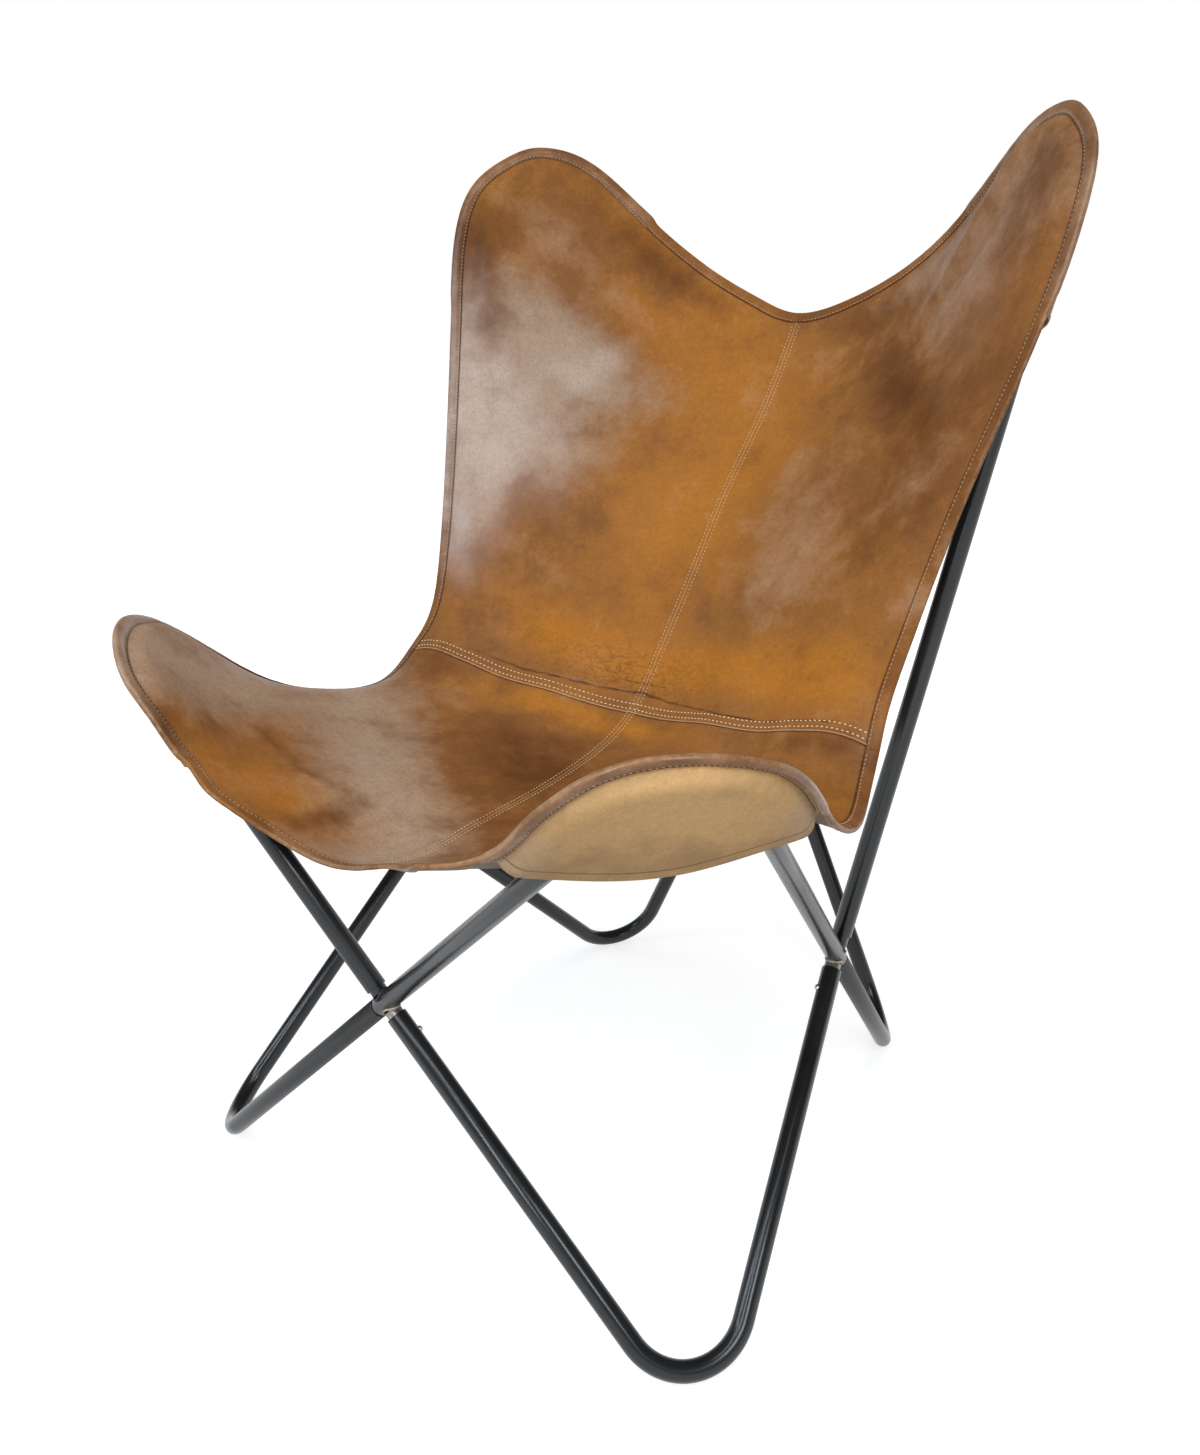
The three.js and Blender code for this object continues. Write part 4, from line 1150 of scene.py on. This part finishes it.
# Folded hem: a closed section carried round the rim; the fold also takes in the pocket's edge
POCKET_DROP = LEATHER / 2 + 0.15 + POCKET_LEATHER / 2
hem_top = LEATHER / 2 + HEM_FOLD + 0.22 * field(rim_line, 9, 31) + 0.15 * field(rim_line, 28, 32)
hem_low = LEATHER / 2 + HEM_FOLD + rim_pocket * (POCKET_LEATHER + 0.3) + 0.22 * field(rim_line, 9, 33)
STITCH_IN = 2.2
HEM_BELOW = 8.5
HEM_ARC = np.linspace(-math.pi / 2, math.pi / 2, 9)
HEM_DUSK = 0.3
HEM_HAZE, POCKET_HAZE, POCKET_POLISH = 0.1, 0.12, 0.4


def hem_section(top, low, pocket, roll):
    """Points (inward, up) of the hem's closed section at a place on the rim; a pocket makes it a fuller roll"""
    half, middle = (top + low) / 2, (top - low) / 2
    nose, crown = 0.8 * half, 0.25 + 0.6 * pocket
    shoulder = nose + 1.2 - 0.5 * roll
    upper = [(HEM_WIDTH, 0.9), (HEM_WIDTH - 0.25, top - 0.4), (HEM_WIDTH - 0.9, top - 0.05),
             (HEM_WIDTH - STITCH_IN, top - 0.35), (HEM_WIDTH - 3.6, top + 0.4 * crown),
             (HEM_WIDTH - 6, top + crown), (shoulder, top + 0.7 * crown)]
    arc = [(nose * (1 - math.cos(a)) - roll, middle + half * math.sin(a)) for a in HEM_ARC[::-1]]
    lower = [(shoulder, -low - 0.1), (HEM_BELOW - 3.6, -low), (HEM_BELOW - STITCH_IN, 0.35 - low),
             (HEM_BELOW - 0.9, 0.05 - low), (HEM_BELOW - 0.25, 0.4 - low),
             (HEM_BELOW, -0.9 - pocket * (POCKET_LEATHER + 0.15)), (HEM_WIDTH - 1, -0.2)]
    return np.array(upper + arc + lower)


def hem_piece(name, sign, from_index, to_index):
    sections, colours, inset = [], [], []
    tint = mottle_colours(sign * rim_u, rim_v)
    tint[:, 1] += HEM_DUSK
    tint[:, 2] += HEM_HAZE + POCKET_HAZE * rim_pocket
    tint[:, 3] += POCKET_POLISH * rim_pocket
    tint = np.clip(tint, 0, 1)
    for i in range(from_index, to_index + 1):
        section = hem_section(hem_top[i], hem_low[i], rim_pocket[i], rim_roll[i])
        inward, up = section.T
        sections.append(hem_line[i] + np.outer(inward, rim_inward[i]) + np.outer(up, rim_up[i]))
        colours.append(np.repeat(tint[i][None], len(section), 0))
        below = (up < 0) & (inward > 3)
        inset.append(np.maximum(inward + rim_roll[i] + (HEM_WIDTH - HEM_BELOW) * below, 0.5))
    count = len(sections[0])
    points = swayed(np.concatenate(sections) * vec(sign, 1, 1))
    faces = grid_faces(len(sections), count, wrap_columns=True)
    faces += [tuple(range(count - 1, -1, -1)), tuple(range(len(points) - count, len(points)))]
    if sign > 0:
        faces = [face[::-1] for face in faces]
    attributes = {"mottle": np.concatenate(colours), "rim": np.concatenate(inset)}
    piece = new_piece(name, points, faces, [saddle], attributes=attributes)
    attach(piece, CHAIR)
    return piece


seam_index = rim_index(side_edge, SEAM_AT - SEAM_BOW)
rim_end = len(rim_line) - 1
for word, sign in SIDES:
    hem_piece(f"seat_hem_{word}", sign, 0, seam_index)
    hem_piece(f"back_hem_{word}", sign, seam_index, rim_end)

# Stitches: small capsules, each turned a little aside and half sunk in the leather
STITCH_LONG = 2.9
STITCH_R = 0.62
STITCH_SIDES = 6
STITCH_TURN, STITCH_DIP = 0.14, 0.35
capsule_along = np.array([-1, -0.8, -0.3, 0.3, 0.8, 1]) * STITCH_LONG / 2
capsule_wide = np.array([0.05, 0.75, 1, 1, 0.75, 0.05]) * STITCH_R
capsule_turn = np.linspace(0, 2 * math.pi, STITCH_SIDES, endpoint=False)


def stitch_places(path, normals, pitch=STITCH_PITCH):
    """Middles, directions and normals of stitches at an even pitch along a path"""
    run = run_along(path)
    stops = np.arange(pitch / 2, run[-1] - pitch / 2, pitch)
    at = read_off(stops, run, path)
    return at, unit(read_off(stops + 0.8, run, path) - at), unit(read_off(stops, run, normals))


def stitch_piece(name, rows, material):
    at, ahead, up = (np.concatenate(parts) for parts in zip(*rows))
    side = unit(np.cross(up, ahead))
    aside = STITCH_TURN * np.sin(12.9898 * np.arange(len(at)))[:, None]
    ahead = unit(ahead + aside * side)
    side = unit(np.cross(up, ahead))
    rings = []
    for reach, radius in zip(capsule_along, capsule_wide):
        dip = -STITCH_DIP * (2 * reach / STITCH_LONG) ** 2
        for a in capsule_turn:
            rings.append(at + ahead * reach + side * radius * math.cos(a) + up * (radius * math.sin(a) + dip))
    points = np.stack(rings, 1)
    count = points.shape[1]
    shape = grid_faces(len(capsule_along), STITCH_SIDES, wrap_columns=True)
    shape += [tuple(range(STITCH_SIDES - 1, -1, -1)), tuple(range(count - STITCH_SIDES, count))]
    faces = [tuple(base * count + k for k in face) for base in range(len(at)) for face in shape]
    piece = new_piece(name, points.reshape(-1, 3), faces, [material])
    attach(piece, CHAIR)
    return piece


def hem_stitch_rows(sign, from_index, to_index):
    picked = slice(from_index + 3, to_index - 2)
    flip = vec(sign, 1, 1)
    rows = []
    for way, wide, height in ((1, HEM_WIDTH, hem_top), (-1, HEM_BELOW, hem_low)):
        line = hem_line[picked] + (wide - STITCH_IN) * rim_inward[picked]
        line = line + way * (height[picked] - 0.3)[:, None] * rim_up[picked]
        rows.append(stitch_places(swayed(line * flip), way * rim_up[picked] * flip))
    return rows


def lines_at(ruler, reach, skin, normal):
    """Points and normals where each line of a grid has gone a set way by its ruler"""
    points, normals = [], []
    for marks, line, ups in zip(ruler, skin, normal):
        order = np.argsort(marks)
        pick = [np.interp(reach, marks[order], column) for column in (*line[order].T, *ups[order].T)]
        points.append(pick[:3])
        normals.append(pick[3:])
    return np.array(points), np.array(normals)


def seam_stitch_path(surface, measure, reach, by_rows, pitch):
    """Stitches on a panel's skin at a set distance from one of its seams, clear of the hem"""
    ruler, rim, skin, normal = (surface[key] if by_rows else surface[key].swapaxes(0, 1)
                                for key in (measure, "rim", "skin", "normal"))
    path, ups = lines_at(ruler, reach, skin, normal)
    rims = np.array([np.interp(reach, marks[np.argsort(marks)], line[np.argsort(marks)])
                     for marks, line in zip(ruler, rim)])
    clear = rims > HEM_WIDTH - 1
    return stitch_places(path[clear], ups[clear], pitch)


CROSS_ROWS = (4.6, 11.4)
CROSS_PITCH = 5.2
hem_stitches, seam_stitches = {}, {}
for word, sign in SIDES:
    for part, stretch in (("seat", (0, seam_index)), ("back", (seam_index, rim_end))):
        name = f"{part}_panel_{word}"
        row = seam_stitch_path(surfaces[name], "from_middle", CENTRE_ROW, True, STITCH_PITCH)
        seam_stitches[name] = [stitch_piece(f"{part}_centre_stitches_{word}", [row], centre_thread)]
        rows = hem_stitch_rows(sign, *stretch)
        hem_stitches[name] = stitch_piece(f"{part}_hem_stitches_{word}", rows, hem_thread)
    back = f"back_panel_{word}"
    rows = [seam_stitch_path(surfaces[back], "from_seam", reach, False, CROSS_PITCH) for reach in CROSS_ROWS]
    seam_stitches[back].append(stitch_piece(f"cross_seam_stitches_{word}", rows, seam_thread))


# Pockets: rows run from the rim to the mouth, which is a curve bowed by two handles
FRONT_HANDLES = ((0.53, 0.12), (0.72, 0.22))
BACK_HANDLES = ((0.6, 0.14), (0.77, 0.26))
MOUTH_STITCH = 5.0
MOUTH_FOLD = 0.7
POCKET_RUN = 15.0
POCKET_COLUMNS = 97
POCKET_ROWS = np.concatenate([np.linspace(0, 0.3, 22)[:-1], np.linspace(0.3, 0.97, 18)[:-1],
                              [0.97, 0.985, 0.995, 1]])


def pocket_places(ends, handles, t):
    """Places on the sling of a pocket's grid, as u and v from its own corner"""
    edge_u, edge_v = ends
    corners = [vec(edge_u, 0), vec(*handles[0]), vec(*handles[1]), vec(1, edge_v)]
    blend = [(1 - t) ** 3, 3 * t * (1 - t) ** 2, 3 * t ** 2 * (1 - t), t ** 3]
    mouth = sum(np.outer(b, c) for b, c in zip(blend, corners))
    rim = np.stack([np.minimum(1, edge_u + (1 - edge_u) * 2 * t), edge_v * np.maximum(0, 2 * t - 1)], 1)
    places = rim[None] + (mouth - rim)[None] * POCKET_ROWS[:, None, None]
    return places[:, :, 0].ravel(), places[:, :, 1].ravel()


def pocket_colours(t):
    """Bright in the middle, hazy at the two sides, and darker towards the mouth: painted shade
    where the pocket runs deeper under the lobe
    """
    middle = np.ones((len(POCKET_ROWS), 1)) * np.clip(1 - np.abs(2 * t - 1), 0, 1)
    down = POCKET_ROWS[:, None] * np.ones_like(middle)
    glow = smoothstep(middle, 0.15, 0.9) * smoothstep(down, 0.05, 0.3)
    glow = glow * (1 - 0.6 * smoothstep(down, 0.45, 0.95))
    bloom_and_sheen = 1 - smoothstep(middle, 0.05, 0.55)
    # painted shade towards the mouth
    dusk = 0.5 * smoothstep(down, 0.45, 0.95)
    return np.stack([glow.ravel(), dusk.ravel(), 0.8 * bloom_and_sheen.ravel(), np.ones(middle.size)], 1)


def pocket_piece(name, sign, lobe, at_top, ends, handles):
    t = np.linspace(0, 1, POCKET_COLUMNS)
    rows, columns = len(POCKET_ROWS), POCKET_COLUMNS
    u, v = pocket_places(ends, handles, t)
    flat = hanging(u, 1 - v if at_top else v)
    distance, _ = rim_distance(flat)
    normal = normals_of(flat.reshape(rows, columns, 3)).reshape(-1, 3)
    normal *= np.sign(normal @ lobe["seatward"])[:, None]
    base = lifted(flat, np.zeros_like(distance)) - normal * POCKET_DROP
    depth = (flat - lobe["tube"]) @ lobe["seatward"] + TUBE_R + POCKET_PLAY + POCKET_LEATHER / 2
    below_tube = flat - np.outer(depth, lobe["seatward"])
    rise = np.clip((distance - SWELL_START) / POCKET_RUN, 0, 1)
    swell = np.sqrt(1 - (1 - rise) ** 2)[:, None]
    grid = (base + (below_tube - base) * swell).reshape(rows, columns, 3)
    normal = normals_of(grid)
    normal *= np.sign(normal @ lobe["seatward"])[:, :, None]
    step = np.linalg.norm(np.diff(grid, axis=0), axis=2)
    from_mouth = np.concatenate([np.cumsum(step[::-1], axis=0)[::-1], np.zeros((1, columns))])
    fold = MOUTH_FOLD * (1 - smoothstep(from_mouth, 6.5, 8.5))
    round_off = np.sqrt(np.clip(1 - (1 - np.clip(from_mouth / 1.2, 0, 1)) ** 2, 0.04, 1))
    upper = POCKET_LEATHER / 2 * round_off
    lower = (POCKET_LEATHER / 2 + fold - 0.25 * np.exp(-(from_mouth - MOUTH_STITCH) ** 2)) * round_off
    keep = (distance >= CUT_BACK).reshape(rows, columns)
    # rim on the pocket also places the painted groove shade and the lighter edge
    edge = np.minimum(distance + HEM_WIDTH - HEM_BELOW, from_mouth.ravel())
    attributes = {"mottle": pocket_colours(t), "rim": edge}
    flip = vec(sign, 1, 1)
    grid, normal = grid * flip, normal * flip
    j, i = rows // 2, columns // 2
    if np.cross(grid[j, i] - grid[j, i - 1], grid[j + 1, i] - grid[j, i]) @ normal[j, i] < 0:
        grid, normal, upper, lower, keep, from_mouth = (
            a[:, ::-1] for a in (grid, normal, upper, lower, keep, from_mouth))
        attributes = {key: flipped(value, rows, columns) for key, value in attributes.items()}
    piece = shell_piece(name, grid, normal, upper, lower, keep, [suede, tan], attributes)
    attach(piece, CHAIR)
    skin = grid - normal * lower[:, :, None]
    path, ups = lines_at(from_mouth.T, MOUTH_STITCH, skin.swapaxes(0, 1), -normal.swapaxes(0, 1))
    clear = rim_distance(path * flip)[0] > HEM_WIDTH + 1
    row = stitch_piece(f"{name}_stitches", [stitch_places(path[clear], ups[clear])], hem_thread)
    return piece, row


pockets = {}
for word, sign in SIDES:
    for place, lobe, ends, handles in (("front", front_lobe, FRONT_MOUTH, FRONT_HANDLES),
                                       ("back", back_lobe, BACK_MOUTH, BACK_HANDLES)):
        name = f"{place}_pocket_{word}"
        pockets[name] = pocket_piece(f"{name}_leather", sign, lobe, place == "back", ends, handles)
        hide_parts(name)

# For each panel the pocket under its lobe is looked up
for word in ("left", "right"):
    for part, lobe in (("seat", "front"), ("back", "back")):
        name = f"{part}_panel_{word}"
        piece, row = pockets[f"{lobe}_pocket_{word}"]

# Camera at the photograph's view; its place and axes are in millimetres and unit vectors
CAMERA_AT = vec(744.6, -1013.7, 870.9)
CAMERA_RIGHT = vec(0.8029, 0.59608, -0.00632)
CAMERA_DOWN = vec(0.18784, -0.26305, -0.94632)
CAMERA_AHEAD = vec(-0.56574, 0.75862, -0.32317)
PHOTO_HEIGHT = 1455
FOCAL_PX = 1274.4
SENSOR = 36.0
camera_data = bpy.data.cameras.new("photo_camera")
camera_data.sensor_width = SENSOR
camera_data.lens = SENSOR * FOCAL_PX / PHOTO_HEIGHT
camera = bpy.data.objects.new("photo_camera", camera_data)
bpy.context.scene.collection.objects.link(camera)
axes = np.stack([CAMERA_RIGHT, -CAMERA_DOWN, -CAMERA_AHEAD], 1)
camera.matrix_world = Matrix.Translation(Vector(CAMERA_AT * MM)) @ Matrix(axes.tolist()).to_4x4()
bpy.context.scene.camera = camera

# Floor: pale paper that keeps the shadow near the chair and turns to plain white away from it
FLOOR_HALF = 14.0
WHITE_NEAR, WHITE_FAR = 0.74, 1.0
FADE_FROM, FADE_TO = 0.5, 1.5
floor_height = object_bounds()[0].z
mesh = bpy.data.meshes.new("studio_floor")
corners = [(x * FLOOR_HALF, y * FLOOR_HALF, floor_height) for x, y in ((-1, -1), (1, -1), (1, 1), (-1, 1))]
mesh.from_pydata(corners, [], [(0, 1, 2, 3)])
floor = bpy.data.objects.new("studio_floor", mesh)
bpy.context.scene.collection.objects.link(floor)


def seen_ray(net):
    """1 for rays that show the background: from the camera, off gloss or through glass"""
    light_path = net.add("ShaderNodeLightPath")
    total = net.math("ADD", light_path.outputs["Is Camera Ray"], light_path.outputs["Is Glossy Ray"])
    total = net.math("ADD", total, light_path.outputs["Is Transmission Ray"])
    return net.math("MINIMUM", total, 1.0)


paper, net, shader = node_material("pale_floor")
set_values(shader, {"Base Color": (0.5, 0.5, 0.5, 1), "Roughness": 0.9, "Specular IOR Level": 0.1})
radius = net.add("ShaderNodeVectorMath", operation="LENGTH")
net.link(net.add("ShaderNodeTexCoord").outputs["Object"], radius.inputs[0])
whiten = net.remap(radius.outputs["Value"], FADE_FROM, FADE_TO, WHITE_NEAR, WHITE_FAR)
glare = net.add("ShaderNodeEmission")
net.link(net.math("MULTIPLY", whiten, seen_ray(net)), glare.inputs["Strength"])
both = net.add("ShaderNodeAddShader")
net.link(shader.outputs["BSDF"], both.inputs[0])
net.link(glare.outputs["Emission"], both.inputs[1])
net.link(both.outputs["Shader"], net.nodes["Material Output"].inputs["Surface"])
mesh.materials.append(paper)

# World: even dim light; the camera sees white, and gloss sees white near the horizon and a dark ceiling
AMBIENT, OVERHEAD = 0.31, 0.1
WHITE_BELOW, DARK_ABOVE = math.sin(math.radians(11)), math.sin(math.radians(20))
world = bpy.data.worlds.new("studio")
bpy.context.scene.world = world
world.use_nodes = True
net = Net(world.node_tree)
background = net.nodes["Background"]
height = net.add("ShaderNodeSeparateXYZ")
net.link(net.add("ShaderNodeTexCoord").outputs["Generated"], height.inputs["Vector"])
shown = net.remap(height.outputs["Z"], WHITE_BELOW, DARK_ABOVE, 1, OVERHEAD)
shown = net.math("MAXIMUM", shown, net.add("ShaderNodeLightPath").outputs["Is Camera Ray"])
brighter = net.math("MULTIPLY", net.math("SUBTRACT", shown, AMBIENT), seen_ray(net))
net.link(net.math("ADD", brighter, AMBIENT), background.inputs["Strength"])
set_values(background, {"Color": (1, 1, 1, 1)})


def softbox(name, at, across, facing, size, radiance, colour=(1, 1, 1), in_gloss=True):
    """Rectangular lamp: its long side runs along across, and it shines against the direction facing"""
    lamp = bpy.data.lights.new(name, "AREA")
    lamp.shape, lamp.size, lamp.size_y = "RECTANGLE", *size
    lamp.energy, lamp.color = radiance * math.pi * size[0] * size[1], colour
    holder = bpy.data.objects.new(name, lamp)
    facing, across = Vector(facing).normalized(), Vector(across)
    across = (across - across.dot(facing) * facing).normalized()
    turn = Matrix((across, facing.cross(across), facing)).transposed().to_4x4()
    holder.matrix_world = Matrix.Translation(at) @ turn
    holder.visible_glossy = in_gloss
    bpy.context.scene.collection.objects.link(holder)


# A long bent row of windows above the camera, which the left of the back mirrors: place along and up from
# the middle, size, turn in degrees, radiance and colour
WINDOW_AT = Vector((-0.03, -1.32, 2.43))
WINDOW_FACING = Vector((0.1765, -0.6588, 0.7314)).normalized()
WINDOW_ALONG = Vector((0.79, 0.538, 0.294))
WINDOW_ALONG = (WINDOW_ALONG - WINDOW_ALONG.dot(WINDOW_FACING) * WINDOW_FACING).normalized()
WINDOW_UP = WINDOW_FACING.cross(WINDOW_ALONG)
DAYLIGHT = (0.84, 0.92, 1.0)
SKYLIGHT = (0.7, 0.84, 1.0)
windows = {
    "middle_window": ((-0.25, -0.06), (1.9, 0.3), 0, 8, DAYLIGHT),
    "right_window": ((0.92, 0.08), (0.66, 0.42), 0, 6, DAYLIGHT),
    "left_window": ((-2.05, 0.46), (1.9, 0.32), -22, 13, SKYLIGHT),
}
for name, ((along, up), size, turn, radiance, colour) in windows.items():
    at = WINDOW_AT + along * WINDOW_ALONG + up * WINDOW_UP
    turn = math.radians(turn)
    across = math.cos(turn) * WINDOW_ALONG + math.sin(turn) * WINDOW_UP
    softbox(name, at, across, WINDOW_FACING, size, radiance, colour)

# Two upright windows that line the tubes, and soft light from behind and overhead
softbox("side_window", (1.6, -1.2, 1.6), (0, 0, 1), (0.64, -0.42, 0.64), (1.0, 0.5), 11, DAYLIGHT)
softbox("strip_window", (0.45, -2.0, 1.65), (0, 0, 1), (0.2, -0.8, 0.56), (1.4, 0.28), 15, DAYLIGHT)
softbox("back_softbox", (0.2, 2.6, 1.7), (1, 0, 0), (0.05, 0.93, 0.36), (2.2, 1.6), 1.1, in_gloss=False)
softbox("overhead_softbox", (0, 0, 3.2), (1, 0, 0), (0, 0, 1), (2.5, 2.5), 0.7, in_gloss=False)

bpy.context.scene.view_settings.view_transform = "Standard"
